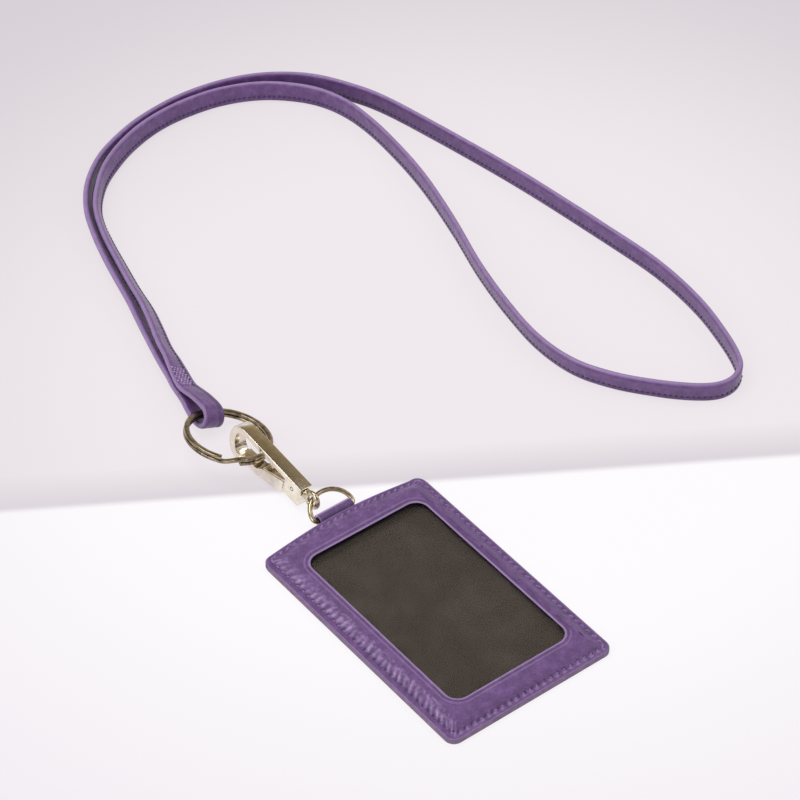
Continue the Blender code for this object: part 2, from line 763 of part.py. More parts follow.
def build_gate(finish, hook, parts, cutters):
    """Lever with a forked hub, a narrow tongue inside the base and a channel under the spine."""
    gate = put("gate_lever", flat_solid("gate_lever", gate_outline(), HOOK_WIDTH), finish, parts, hook @ SIDE_ON)
    bevel(gate, HOOK_EDGE)
    tongue_end = -SPINE_LENGTH + TONGUE_LENGTH
    for side in (-1, 1):
        across = sorted((side * TONGUE_WIDTH / 2, side * HOOK_WIDTH))
        low = (across[0], -SPINE_LENGTH - OVERRUN, -CLAW_DEPTH)
        high = (across[1], tongue_end, OVERRUN)
        boolean(gate, box(f"tongue side {side}", low, high, hook, cutters))
    channel = [
        (CHANNEL_BACK, OVERRUN),
        (CHANNEL_BACK, gate_floor(CHANNEL_BACK)),
        (CHANNEL_FRONT, gate_floor(CHANNEL_FRONT)),
        (CHANNEL_FRONT, OVERRUN),
    ]
    boolean(gate, side_cutter("channel", channel, HOOK_WIDTH - 2 * GATE_WALL, hook, cutters))
    fork = [
        (-SPINE_LENGTH - OVERRUN, OVERRUN),
        (-SPINE_LENGTH - OVERRUN, -BASE_DEPTH - OVERRUN),
        (PIN_Y - HUB_RADIUS, -BASE_DEPTH - OVERRUN),
        (PIN_Y, -PIN_DEPTH - HUB_RADIUS - RUN_GAP),
        (CHANNEL_BACK + RUN_GAP, gate_floor(CHANNEL_BACK)),
        (CHANNEL_BACK + RUN_GAP, OVERRUN),
    ]
    boolean(gate, side_cutter("fork", fork, FORK_GAP, hook, cutters))
    pin_hole = ((-HOOK_WIDTH, PIN_Y, -PIN_DEPTH), (HOOK_WIDTH, PIN_Y, -PIN_DEPTH))
    boolean(gate, rod("hub hole", *pin_hole, PIN_RADIUS + RUN_GAP, hook, cutters))
    smooth_shading(gate)
    return gate


def build_pin(finish, hook, parts):
    bm = bmesh.new()
    turn = Matrix.Rotation(math.pi / 2, 4, "Y")
    bmesh.ops.create_cone(
        bm, cap_ends=True, segments=16, radius1=PIN_RADIUS, radius2=PIN_RADIUS, depth=HOOK_WIDTH, matrix=turn
    )
    mesh = bpy.data.meshes.new("gate_pin")
    bm.to_mesh(mesh)
    bm.free()
    pin = put("gate_pin", mesh, finish, parts, hook @ Matrix.Translation((0, PIN_Y, -PIN_DEPTH)))
    smooth_shading(pin)
    return pin


def build_spring(finish, hook, parts):
    """Torsion spring round the pin, one leg under the spine and one on the gate's floor."""
    turn = 2 * math.pi * SPRING_TURNS
    steps = int(SPRING_TURNS * SPRING_TURN_STEPS)
    coil = []
    for i in range(steps + 1):
        angle = SPRING_START + turn * i / steps
        across = SPRING_PITCH * SPRING_TURNS * (i / steps - 0.5)
        y = PIN_Y + SPRING_COIL_RADIUS * math.cos(angle)
        z = -PIN_DEPTH + SPRING_COIL_RADIUS * math.sin(angle)
        coil.append((across, y, z))
    under_spine = (coil[0][0], PIN_Y + SPRING_LEG_REACH, -SPINE_THICKNESS - RUN_GAP - SPRING_WIRE / 2)
    leg_end = PIN_Y + SPRING_LEG_REACH
    on_floor = (coil[-1][0], leg_end, gate_floor(leg_end) + RUN_GAP + SPRING_WIRE / 2)
    gap = SPRING_PITCH - SPRING_WIRE
    print(f"spring: least gap between its turns {gap * 1000:.2f} mm")
    path = [under_spine, *coil, on_floor]
    spring = put("gate_spring", wire("gate_spring", path, SPRING_WIRE / 2, resolution=1), finish, parts, hook)
    smooth_shading(spring)
    return spring


def build_split_ring(finish, frame, parts):
    """Flat wire of nearly two turns: its step up lies between its two ends."""
    start = RING_END + RING_STEP
    sweep = 4 * math.pi - RING_STEP
    steps = int(RING_STEPS_A_TURN * sweep / (2 * math.pi))
    points = []
    for i in range(steps + 1):
        turned = sweep * i / steps
        climb = min(max((turned - 2 * math.pi + RING_STEP) / RING_STEP, 0), 1)
        climb = climb**2 * (3 - 2 * climb)
        angle = start + turned
        height = RING_LAYER * (climb - 0.5)
        points.append((RING_RADIUS * math.cos(angle), RING_RADIUS * math.sin(angle), height))
    half_width, half_height = RING_WIRE_WIDTH / 2, RING_WIRE_HEIGHT / 2
    profile = [
        (half_width, half_height - RING_WIRE_EDGE),
        (half_width - RING_WIRE_EDGE, half_height),
        (RING_WIRE_EDGE - half_width, half_height),
        (-half_width, half_height - RING_WIRE_EDGE),
        (-half_width, RING_WIRE_EDGE - half_height),
        (RING_WIRE_EDGE - half_width, -half_height),
        (half_width - RING_WIRE_EDGE, -half_height),
        (half_width, RING_WIRE_EDGE - half_height),
    ]
    mesh = strip("split_ring", points, [0] * len(points), profile)
    ring = put("split_ring", mesh, finish, parts, frame)
    smooth_shading(ring)
    return ring


def build_strap_fold(finish, frame, parts):
    """The strap's end, folded round the split ring and back on itself."""
    shape = [(0, along * FOLD_THROAT, out * FOLD_DEPTH) for along, out in FOLD_PATH_SHARES]
    path = smooth_through(shape, FOLD_STEPS)
    bm = bmesh.new()
    sides = [[bm.verts.new((side * STRAP_WIDTH / 2, p.y, p.z)) for p in path] for side in (1, -1)]
    for i in range(len(path) - 1):
        bm.faces.new((sides[0][i], sides[0][i + 1], sides[1][i + 1], sides[1][i]))
    mesh = bpy.data.meshes.new("strap_end_fold")
    bm.to_mesh(mesh)
    bm.free()
    fold = put("strap_end_fold", mesh, finish, parts, frame)
    thicken(fold, STRAP_THICKNESS, 0)
    smooth_shading(fold)
    return fold


def strap_run():
    """Points and leans of the strap, close together where it bends and further apart where not."""
    fine = smooth_through([(x, y, z) for x, y, z, lean in STRAP_ROUTE], STRAP_SPAN_STEPS)
    leans = smooth_through([(lean, 0, 0) for x, y, z, lean in STRAP_ROUTE], STRAP_SPAN_STEPS)
    points, kept = [fine[0]], [math.radians(leans[0].x)]
    first, last = STRAP_SPAN_STEPS, len(fine) - 1 - STRAP_SPAN_STEPS
    heading = Vector()
    for i in range(first, last + 1):
        here = (fine[i + 1] - fine[i]).normalized()
        lean = math.radians(leans[i].x)
        far = (fine[i] - points[-1]).length >= STRAP_STEP
        bent = here.angle(heading, math.pi) + abs(lean - kept[-1]) >= STRAP_BEND
        if far or bent or i == last:
            points.append(fine[i])
            kept.append(lean)
            heading = here
    return [*points, fine[-1]], [*kept, math.radians(leans[-1].x)]


def build_strap(finish, parts):
    """The free strap: thicker at its folded upper edge than at its sewn lower edge."""
    points, leans = strap_run()
    half = STRAP_WIDTH / 2
    shoulder = half * STRAP_SHOULDER_SHARE
    rounding = half * STRAP_ROUNDING_SHARE
    sewn = STRAP_THICKNESS / 2
    folded = STRAP_FOLD_THICKNESS / 2
    profile = [
        (sewn, -half),
        (sewn, 0),
        (folded, shoulder),
        (folded, rounding),
        (folded / 2, half),
        (-folded / 2, half),
        (-folded, rounding),
        (-folded, shoulder),
        (-sewn, 0),
        (-sewn, -half),
    ]
    length = sum((b - a).length for a, b in zip(points, points[1:]))
    print(f"strap: {len(points)} points, {length * 1000:.0f} mm along its middle")
    strap = put("strap", strip("strap", points, leans, profile), finish, parts)
    smooth_shading(strap)
    return strap


def main():
    for old in list(bpy.data.objects):
        bpy.data.objects.remove(old)
    parts = bpy.data.collections.new("lanyard_card_holder")
    cutters = bpy.data.collections.new("cutters")
    for collection in (parts, cutters):
        bpy.context.scene.collection.children.link(collection)
    leather = material("purple leather", "6F4F85", 0.5)
    finishes = {
        "leather": leather,
        "lining": material("dark lining", "4A433E", 0.8),
        "film": material("clear film", "6B645F", 0.15, alpha=0.35),
        "metal": material("pale gold plate", "C9BBA0", 0.15, metallic=1.0),
        "spring": material("spring steel", "9A9A98", 0.3, metallic=1.0),
    }

    build_holder(finishes, parts)
    build_tab(leather, parts)
    bar_place = (TAB_X, BAR_Y, BAR_HEIGHT)
    bar = joint_frame("d_ring axis", bar_place, parts)
    d_ring = build_d_ring(finishes["metal"], parts)
    hang(d_ring, bar)

    turn = Euler(HOOK_TURN, "YXZ").to_matrix().to_4x4()
    nose_place = moved(bar_place, HOOK_FROM_BAR)
    hook = Matrix.Translation(nose_place) @ turn
    eye_place = hook @ Vector((0, EYE_Y, -SHANK_DEPTH))
    eye_axis = joint_frame("eye axis", eye_place, parts, turn, bar)
    hang(build_swivel_eye(finishes["metal"], hook, parts, cutters), eye_axis)
    swivel_place = hook @ Vector((0, -SPINE_LENGTH, -SHANK_DEPTH))
    swivel = joint_frame("swivel axis", swivel_place, parts, turn, eye_axis)
    hang(build_hook_body(finishes["metal"], hook, parts, cutters), swivel)
    hang(build_pin(finishes["metal"], hook, parts), swivel)
    hang(build_spring(finishes["spring"], hook, parts), swivel)
    pin_place = hook @ Vector((0, PIN_Y, -PIN_DEPTH))
    gate_axis = joint_frame("gate axis", pin_place, parts, turn, swivel)
    hang(build_gate(finishes["metal"], hook, parts, cutters), gate_axis)

    lean = Matrix.Rotation(RING_LEAN, 4, "Y")
    ring_frame = Matrix.Translation(moved(nose_place, RING_FROM_NOSE)) @ lean
    in_hook = ring_frame @ Matrix.Rotation(RING_SEAT, 4, "Z") @ Vector((RING_RADIUS, 0, 0))
    ring_axis = joint_frame("split ring axis", in_hook, parts, lean, gate_axis)
    hang(build_split_ring(finishes["metal"], ring_frame, parts), ring_axis)
    around = Matrix.Rotation(FOLD_AROUND - math.pi / 2, 4, "Z")
    on_wire = ring_frame @ around @ Matrix.Translation((0, RING_RADIUS, 0))
    fold_frame = on_wire @ Matrix.Rotation(FOLD_ROLL, 4, "Y")
    fold_axis = joint_frame("strap axis", on_wire.translation, parts, lean @ around, ring_axis)
    hang(build_strap_fold(leather, fold_frame, parts), fold_axis)
    hang(build_strap(leather, parts), fold_axis)


main()
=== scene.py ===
"""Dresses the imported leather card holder, its hook and its neck strap, and sets the studio round them."""

from __future__ import annotations

import logging
import math
import random
from dataclasses import dataclass, field
from enum import Enum
from typing import Callable, Iterable, Iterator, Sequence

import bmesh
import bpy
from mathutils import Matrix, Vector, noise


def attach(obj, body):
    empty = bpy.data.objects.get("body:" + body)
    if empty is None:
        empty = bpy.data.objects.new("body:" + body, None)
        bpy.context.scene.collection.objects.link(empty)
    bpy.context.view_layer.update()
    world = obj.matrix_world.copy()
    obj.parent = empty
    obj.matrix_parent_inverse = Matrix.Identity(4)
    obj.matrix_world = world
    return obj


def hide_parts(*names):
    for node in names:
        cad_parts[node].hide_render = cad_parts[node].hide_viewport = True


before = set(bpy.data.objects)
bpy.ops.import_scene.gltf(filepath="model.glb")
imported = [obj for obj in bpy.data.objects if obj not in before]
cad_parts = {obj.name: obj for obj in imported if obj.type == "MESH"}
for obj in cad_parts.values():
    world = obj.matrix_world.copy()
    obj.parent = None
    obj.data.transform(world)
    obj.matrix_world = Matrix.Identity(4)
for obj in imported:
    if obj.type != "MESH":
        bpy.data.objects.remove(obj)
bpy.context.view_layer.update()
LOG = logging.getLogger("card holder")
MM = 0.001
MERGE = 1e-6
UP = Vector((0, 0, 1))
Outline = list[tuple[float, float]]
Ring = tuple[list[Vector], list[float], list[float]]
Place3 = tuple[float, float, float]


class Body(str, Enum):
    """The moving bodies that pieces ride on."""

    HOLDER = "holder"
    D_RING = "d_ring"
    EYE = "swivel_eye"
    HOOK = "hook"
    GATE = "gate"
    RING = "split_ring"
    STRAP = "strap"


class Slot(str, Enum):
    """The record's material slots."""

    LEATHER = "leather"
    METAL = "plated_metal"


@dataclass(frozen=True)
class Station:
    """One section of a sweep: its place, and the directions of the profile's two axes."""

    place: Vector
    right: Vector
    up: Vector


def linear(code: str) -> tuple[float, float, float, float]:
    """Linear colour of an sRGB hex code.

    Args:
        code: Six hex digits.

    Returns:
        Red, green, blue and an alpha of 1.
    """
    channels = [int(code[i : i + 2], 16) / 255 for i in (0, 2, 4)]
    red, green, blue = (c / 12.92 if c <= 0.04045 else ((c + 0.055) / 1.055) ** 2.4 for c in channels)
    return (red, green, blue, 1.0)


def smooth_through(points: Sequence[Sequence[float]], steps: int) -> list[Vector]:
    """A smooth curve through points.

    Args:
        points: The points to pass through.
        steps: Steps in each span.

    Returns:
        The curve's points, ends included.
    """
    knots = [Vector(p) for p in points]
    knots = [2 * knots[0] - knots[1], *knots, 2 * knots[-1] - knots[-2]]
    curve = []
    for before, start, end, after in zip(knots, knots[1:], knots[2:], knots[3:]):
        for i in range(steps):
            t = i / steps
            bend = (2 * before - 5 * start + 4 * end - after) * t**2
            twist = (3 * start - before - 3 * end + after) * t**3
            curve.append(0.5 * (2 * start + (end - before) * t + bend + twist))
    return [*curve, knots[-2]]


def smoothstep(low: float, high: float, value: float) -> float:
    """0 below low, 1 above high, and a smooth rise between them."""
    share = min(max((value - low) / (high - low), 0.0), 1.0)
    return share * share * (3 - 2 * share)


def bell(value: float, width: float) -> float:
    """1 at 0, fading evenly to either side over about a width."""
    return math.exp(-((value / width) ** 2))


def headings(points: Sequence[Vector], closed: bool = False) -> list[Vector]:
    """Direction of a line of points at each of them.

    Args:
        points: The line.
        closed: Whether its last point joins its first.

    Returns:
        One unit direction a point.
    """
    count = len(points)
    found = []
    for i in range(count):
        ahead = points[(i + 1) % count] if closed or i + 1 < count else points[i]
        behind = points[i - 1] if closed or i else points[i]
        found.append((ahead - behind).normalized())
    return found


def stations_in_plane(points: Sequence[Vector], up: Vector, closed: bool = False) -> list[Station]:
    """Sections along a line that keeps one direction up."""
    return [Station(p, h.cross(up).normalized(), up) for p, h in zip(points, headings(points, closed))]


def spaced(
    stations: Sequence[Station], start: float, pitch: float, end: float = math.inf
) -> Iterator[tuple[Station, Vector]]:
    """Evenly spaced places along a sweep.

    Args:
        stations: The sweep's sections.
        start: How far along the first place is.
        pitch: The distance between places.
        end: Where they stop.

    Yields:
        A section, and the sweep's direction there.
    """
    run, due = 0.0, start
    for first, second in zip(stations, stations[1:]):
        gap = second.place - first.place
        while run + gap.length >= due and due < end:
            share = (due - run) / gap.length
            right = first.right.lerp(second.right, share).normalized()
            up = first.up.lerp(second.up, share).normalized()
            yield Station(first.place.lerp(second.place, share), right, up), gap.normalized()
            due += pitch
        run += gap.length


def facing(spot: Vector, along: Vector, out: Vector) -> Matrix:
    """Place of a copy whose X runs along one direction and whose Z points out."""
    return Matrix.Translation(spot) @ Matrix((along, out.cross(along), out)).transposed().to_4x4()


def rounded_box(width: float, height: float, radius: float, steps: int = 4) -> Outline:
    """Profile of a flat bar with round edges, centred on the origin.

    Args:
        width: Its size along X.
        height: Its size along Y.
        radius: The radius of its edges.
        steps: Steps in each edge's quarter turn.

    Returns:
        The outline, anticlockwise.
    """
    outline: Outline = []
    for quarter, (x, y) in enumerate(((1, 1), (-1, 1), (-1, -1), (1, -1))):
        for i in range(steps + 1):
            angle = (quarter + i / steps) * math.pi / 2
            across = x * (width / 2 - radius) + radius * math.cos(angle)
            outline.append((across, y * (height / 2 - radius) + radius * math.sin(angle)))
    return outline


def circle(radius: float, sides: int) -> Outline:
    """Profile of a round wire."""
    turns = [2 * math.pi * i / sides for i in range(sides)]
    return [(radius * math.cos(turn), radius * math.sin(turn)) for turn in turns]


def connect(tree: bpy.types.NodeTree, node: bpy.types.Node, inputs: dict[int | str, object]) -> None:
    """Links or sets a node's input sockets.

    Args:
        tree: The node tree.
        node: The node.
        inputs: What each socket takes: another node's output, a hex colour or a plain value.
    """
    for socket, source in inputs.items():
        if isinstance(source, bpy.types.NodeSocket):
            tree.links.new(source, node.inputs[socket])
        else:
            node.inputs[socket].default_value = linear(source) if isinstance(source, str) else source


def add_node(
    tree: bpy.types.NodeTree,
    kind: str,
    inputs: dict[int | str, object] | None = None,
    stops: Sequence[tuple[float, str]] = (),
    **settings: object,
) -> bpy.types.Node:
    """Adds a shader node with its settings and links.

    Args:
        tree: The node tree.
        kind: Blender's name for the node type, without the ShaderNode before it.
        inputs: What its input sockets take.
        stops: A colour ramp's stops, as places and hex colours.
        **settings: What to set on the node itself.

    Returns:
        The new node.
    """
    node = tree.nodes.new("ShaderNode" + kind)
    for key, value in settings.items():
        setattr(node, key, value)
    connect(tree, node, inputs or {})
    for index, (place, code) in enumerate(stops):
        elements = node.color_ramp.elements
        if index == len(elements):
            elements.new(1.0)
        elements[index].position = place
        elements[index].color = linear(code)
    return node


class Finish:
    """What all finishes share: a named material with a Principled shader and patterns in object coordinates."""

    name = "finish"

    def material(self) -> bpy.types.Material:
        """The finish as a material, made once.

        Returns:
            The material.
        """
        made = bpy.data.materials.get(self.name)
        if made is None:
            made = bpy.data.materials.new(self.name)
            made.use_nodes = True
            tree = made.node_tree
            spot = add_node(tree, "TexCoord").outputs["Object"]
            self.paint(tree, tree.nodes["Principled BSDF"], spot)
        return made

    def paint(self, tree: bpy.types.NodeTree, shader: bpy.types.Node, spot: bpy.types.NodeSocket) -> None:
        """Sets the shader and adds the nodes that feed it.

        Args:
            tree: The material's node tree.
            shader: Its Principled shader.
            spot: Object coordinates.
        """
        raise NotImplementedError


@dataclass(frozen=True)
class LeatherFinish(Finish):
    """Drum-dyed cowhide, embossed with a pebble grain under a satin top coat."""

    # To the eye: a soft broken highlight, and darker valleys between the pebbles, which are painted shade. Where a
    # piece gives them: painted highlights and pale edges, and painted shade in holes, grooves and creases.
    name: str = "embossed purple leather"
    deep: str = "523568"
    middle: str = "623F78"
    pale: str = "73518B"
    rubbed_and_highlight: str = "B29AC6"
    shaded: str = "2F1F40"
    cloud_mm: float = 3.0303
    pebble_mm: float = 1.1
    # Real pores are about 0.1 mm apart. These are as coarse as they need to be to show.
    pore_mm: float = 0.38462
    pore_relief: float = 0.2
    crease_relief: float = 0.6
    pebble_relief: float = 0.8
    pebble_shade: float = 0.8
    roughness: float = 0.47

    def paint(self, tree: bpy.types.NodeTree, shader: bpy.types.Node, spot: bpy.types.NodeSocket) -> None:
        """Cloudy dye, pebbles as raised cells with painted shade in their valleys, the pale colour for the piece's
        painted highlights and pale edges, and the dark colour for its painted shade.

        Args:
            tree: The material's node tree.
            shader: Its Principled shader.
            spot: Object coordinates.
        """
        size = {"Vector": spot, "Scale": 1 / (self.cloud_mm * MM)}
        cloud = add_node(tree, "TexNoise", {**size, "Detail": 4.0, "Roughness": 0.6}).outputs["Fac"]
        dyes = ((0.30, self.deep), (0.52, self.middle), (0.74, self.pale))
        dye = add_node(tree, "ValToRGB", {"Fac": cloud}, dyes).outputs["Color"]
        size = {"Vector": spot, "Scale": 1 / (self.pebble_mm * MM)}
        cells = add_node(tree, "TexVoronoi", {**size, "Randomness": 0.9}, feature="DISTANCE_TO_EDGE")
        valley = add_node(tree, "MapRange", {"Value": cells.outputs["Distance"], "From Max": 0.16}).outputs[0]
        # Painted shade: the valleys between the pebbles are darkened, so the cells read as raised.
        shade = add_node(tree, "MapRange", {"Value": valley, "To Min": 0.72}).outputs[0]
        grey = add_node(tree, "CombineColor", {0: shade, 1: shade, 2: shade}).outputs[0]
        mix = {"data_type": "RGBA", "blend_type": "MULTIPLY"}
        colour = add_node(tree, "Mix", {0: self.pebble_shade, 6: dye, 7: grey}, **mix).outputs[2]
        # The first layer paints in highlights and pale edges, and the seam layer paints in shade.
        for layer, code in (("wear_and_highlight", self.rubbed_and_highlight), ("seam", self.shaded)):
            amount = add_node(tree, "Attribute", attribute_name=layer).outputs["Fac"]
            colour = add_node(tree, "Mix", {0: amount, 6: colour, 7: code}, data_type="RGBA").outputs[2]
        size = {"Vector": spot, "Scale": 1 / (self.pore_mm * MM)}
        pores = add_node(tree, "TexNoise", {**size, "Detail": 2.0}).outputs["Fac"]
        depth = {"Height": pores, "Strength": self.pore_relief, "Distance": 0.05 * MM}
        normal = add_node(tree, "Bump", depth).outputs[0]
        for height, strength, deep in ((cloud, self.crease_relief, 0.25), (valley, self.pebble_relief, 0.1)):
            depth = {"Height": height, "Strength": strength, "Distance": deep * MM, "Normal": normal}
            normal = add_node(tree, "Bump", depth).outputs[0]
        ends = {"To Min": self.roughness + 0.1, "To Max": self.roughness - 0.06}
        rough = add_node(tree, "MapRange", {"Value": valley, **ends}).outputs[0]
        sheen = {"Sheen Weight": 0.12, "Sheen Roughness": 0.5, "Specular IOR Level": 0.5}
        connect(tree, shader, {"Base Color": colour, "Roughness": rough, "Normal": normal, **sheen})


@dataclass(frozen=True)
class EdgePaintFinish(Finish):
    """Acrylic edge paint, wiped over the cut plies by hand."""

    # To the eye: a rubbery, slightly patchy mauve line between the two plies.
    name: str = "mauve edge paint"
    dark: str = "5F4A66"
    light: str = "7A627F"
    patch_mm: float = 2.0

    def paint(self, tree: bpy.types.NodeTree, shader: bpy.types.Node, spot: bpy.types.NodeSocket) -> None:
        """A patchy coat.

        Args:
            tree: The material's node tree.
            shader: Its Principled shader.
            spot: Object coordinates.
        """
        coat = add_node(tree, "TexNoise", {"Vector": spot, "Scale": 1 / (self.patch_mm * MM), "Detail": 3.0})
        tones = ((0.3, self.dark), (0.7, self.light))
        colour = add_node(tree, "ValToRGB", {"Fac": coat.outputs["Fac"]}, tones).outputs["Color"]
        connect(tree, shader, {"Base Color": colour, "Roughness": 0.5})


@dataclass(frozen=True)
class ThreadFinish(Finish):
    """Bonded polyester thread, twisted from two plies."""

    # To the eye: fine slanting bands that catch a little light.
    name: str = "purple thread"
    colour: str = "73558F"
    light: str = "A188BA"
    ply_mm: float = 0.35

    def paint(self, tree: bpy.types.NodeTree, shader: bpy.types.Node, spot: bpy.types.NodeSocket) -> None:
        """Bands for the plies.

        Args:
            tree: The material's node tree.
            shader: Its Principled shader.
            spot: Object coordinates.
        """
        # A wave texture has 2 pi bands in a unit.
        bands = {"Vector": spot, "Scale": 1 / (self.ply_mm * MM) / 6.3, "Distortion": 1.0}
        ply = add_node(tree, "TexWave", bands).outputs["Fac"]
        colour = add_node(tree, "ValToRGB", {"Fac": ply}, ((0.0, self.colour), (1.0, self.light))).outputs["Color"]
        connect(tree, shader, {"Base Color": colour, "Roughness": 0.6})


@dataclass(frozen=True)
class MetalFinish(Finish):
    """Die-cast zinc or steel wire, tumbled, then plated pale gold; the darker copies of this plate are painted dark
    reflections.
    """

    # To the eye: a warm mirror whose reflections waver, with faint handling marks.
    name: str = "polished pale gold plate"
    light: str = "F7F1E6"
    dark: str = "E4DAC4"
    polish: float = 0.10
    tone_mm: float = 2.38095
    mark_mm: float = 0.66667
    dent_mm: float = 1.42857

    def paint(self, tree: bpy.types.NodeTree, shader: bpy.types.Node, spot: bpy.types.NodeSocket) -> None:
        """Nearly even colour, handling marks in the polish and very shallow dents.

        Args:
            tree: The material's node tree.
            shader: Its Principled shader.
            spot: Object coordinates.
        """
        tone, mark, dent = (
            add_node(tree, "TexNoise", {"Vector": spot, "Scale": 1 / (size * MM), "Detail": detail}).outputs["Fac"]
            for size, detail in ((self.tone_mm, 3.0), (self.mark_mm, 4.0), (self.dent_mm, 1.0))
        )
        colour = add_node(tree, "ValToRGB", {"Fac": tone}, ((0.3, self.dark), (0.7, self.light))).outputs["Color"]
        ends = {"To Min": self.polish, "To Max": self.polish + 0.16}
        rough = add_node(tree, "MapRange", {"Value": mark, **ends}).outputs[0]
        bump = add_node(tree, "Bump", {"Height": dent, "Strength": 0.1, "Distance": 0.05 * MM}).outputs[0]
        connect(tree, shader, {"Base Color": colour, "Roughness": rough, "Normal": bump, "Metallic": 1.0})


@dataclass(frozen=True)
class SpringFinish(Finish):
    """Drawn spring steel wire."""

    # To the eye: grey and slightly streaked.
    name: str = "spring steel"
    dark: str = "7F7F7D"
    light: str = "B4B4B0"
    streak_mm: float = 0.33333

    def paint(self, tree: bpy.types.NodeTree, shader: bpy.types.Node, spot: bpy.types.NodeSocket) -> None:
        """Grey metal with drawing streaks.

        Args:
            tree: The material's node tree.
            shader: Its Principled shader.
            spot: Object coordinates.
        """
        streak = add_node(tree, "TexNoise", {"Vector": spot, "Scale": 1 / (self.streak_mm * MM)}).outputs["Fac"]
        colour = add_node(tree, "ValToRGB", {"Fac": streak}, ((0.3, self.dark), (0.7, self.light))).outputs["Color"]
        connect(tree, shader, {"Base Color": colour, "Metallic": 1.0, "Roughness": 0.3})


@dataclass(frozen=True)
class FilmFinish(Finish):
    """Calendered soft clear vinyl."""

    # To the eye: nearly invisible, a little hazy, with slow ripples that only bend reflections.
    name: str = "clear vinyl"
    tint: str = "F4F1EE"
    ripple_mm: float = 22.2222
    refraction: float = 1.45

    def paint(self, tree: bpy.types.NodeTree, shader: bpy.types.Node, spot: bpy.types.NodeSocket) -> None:
        """Clear, with ripples in its face and its haze.

        Args:
            tree: The material's node tree.
            shader: Its Principled shader.
            spot: Object coordinates.
        """
        waves = {"Vector": spot, "Scale": 1 / (self.ripple_mm * MM), "Detail": 1.0}
        ripple = add_node(tree, "TexNoise", waves).outputs["Fac"]
        bump = add_node(tree, "Bump", {"Height": ripple, "Strength": 0.25, "Distance": 0.3 * MM}).outputs[0]
        haze = add_node(tree, "MapRange", {"Value": ripple, "To Min": 0.16, "To Max": 0.26}).outputs[0]
        clear = {"Base Color": self.tint, "Transmission Weight": 1.0, "IOR": self.refraction}
        connect(tree, shader, {"Normal": bump, "Roughness": haze, **clear})


@dataclass(frozen=True)
class LiningFinish(Finish):
    """Dark brown-black lining cloth in a plain weave."""

    # To the eye: dead matt and faintly mottled, with a painted shadow close under the window's lip.
    name: str = "dark lining cloth"
    tones: tuple[tuple[float, str], ...] = ((0.3, "474241"), (0.5, "504A49"), (0.72, "5E5857"))
    shaded: str = "1E1A19"
    shade_from: float = 0.0385
    shade_to: float = 0.0412
    shade_most: float = 0.75
    mottle_mm: float = 9.0909
    # A real thread is about 0.2 mm. This one is as coarse as it needs to be to show.
    thread_mm: float = 0.5

    def paint(self, tree: bpy.types.NodeTree, shader: bpy.types.Node, spot: bpy.types.NodeSocket) -> None:
        """A weave over a mottled dark colour, and a painted shadow under the lip.

        Args:
            tree: The material's node tree.
            shader: Its Principled shader.
            spot: Object coordinates.
        """
        patches = {"Vector": spot, "Scale": 1 / (self.mottle_mm * MM), "Detail": 4.0}
        mottle = add_node(tree, "TexNoise", patches).outputs["Fac"]
        colour = add_node(tree, "ValToRGB", {"Fac": mottle}, self.tones).outputs["Color"]
        # Painted shadow: darker towards the window's top lip.
        along = add_node(tree, "SeparateXYZ", {"Vector": spot}).outputs["Y"]
        ends = {"From Min": self.shade_from, "From Max": self.shade_to, "To Max": self.shade_most}
        under = add_node(tree, "MapRange", {"Value": along, **ends}, interpolation_type="SMOOTHSTEP").outputs[0]
        colour = add_node(tree, "Mix", {0: under, 6: colour, 7: self.shaded}, data_type="RGBA").outputs[2]
        threads = {"Vector": spot, "Scale": 1 / (self.thread_mm * MM), "Randomness": 0.1}
        weave = add_node(tree, "TexVoronoi", threads).outputs["Distance"]
        bump = add_node(tree, "Bump", {"Height": weave, "Strength": 0.05, "Distance": 0.05 * MM}).outputs[0]
        matt = {"Roughness": 0.85, "Specular IOR Level": 0.25}
        connect(tree, shader, {"Base Color": colour, "Normal": bump, **matt})


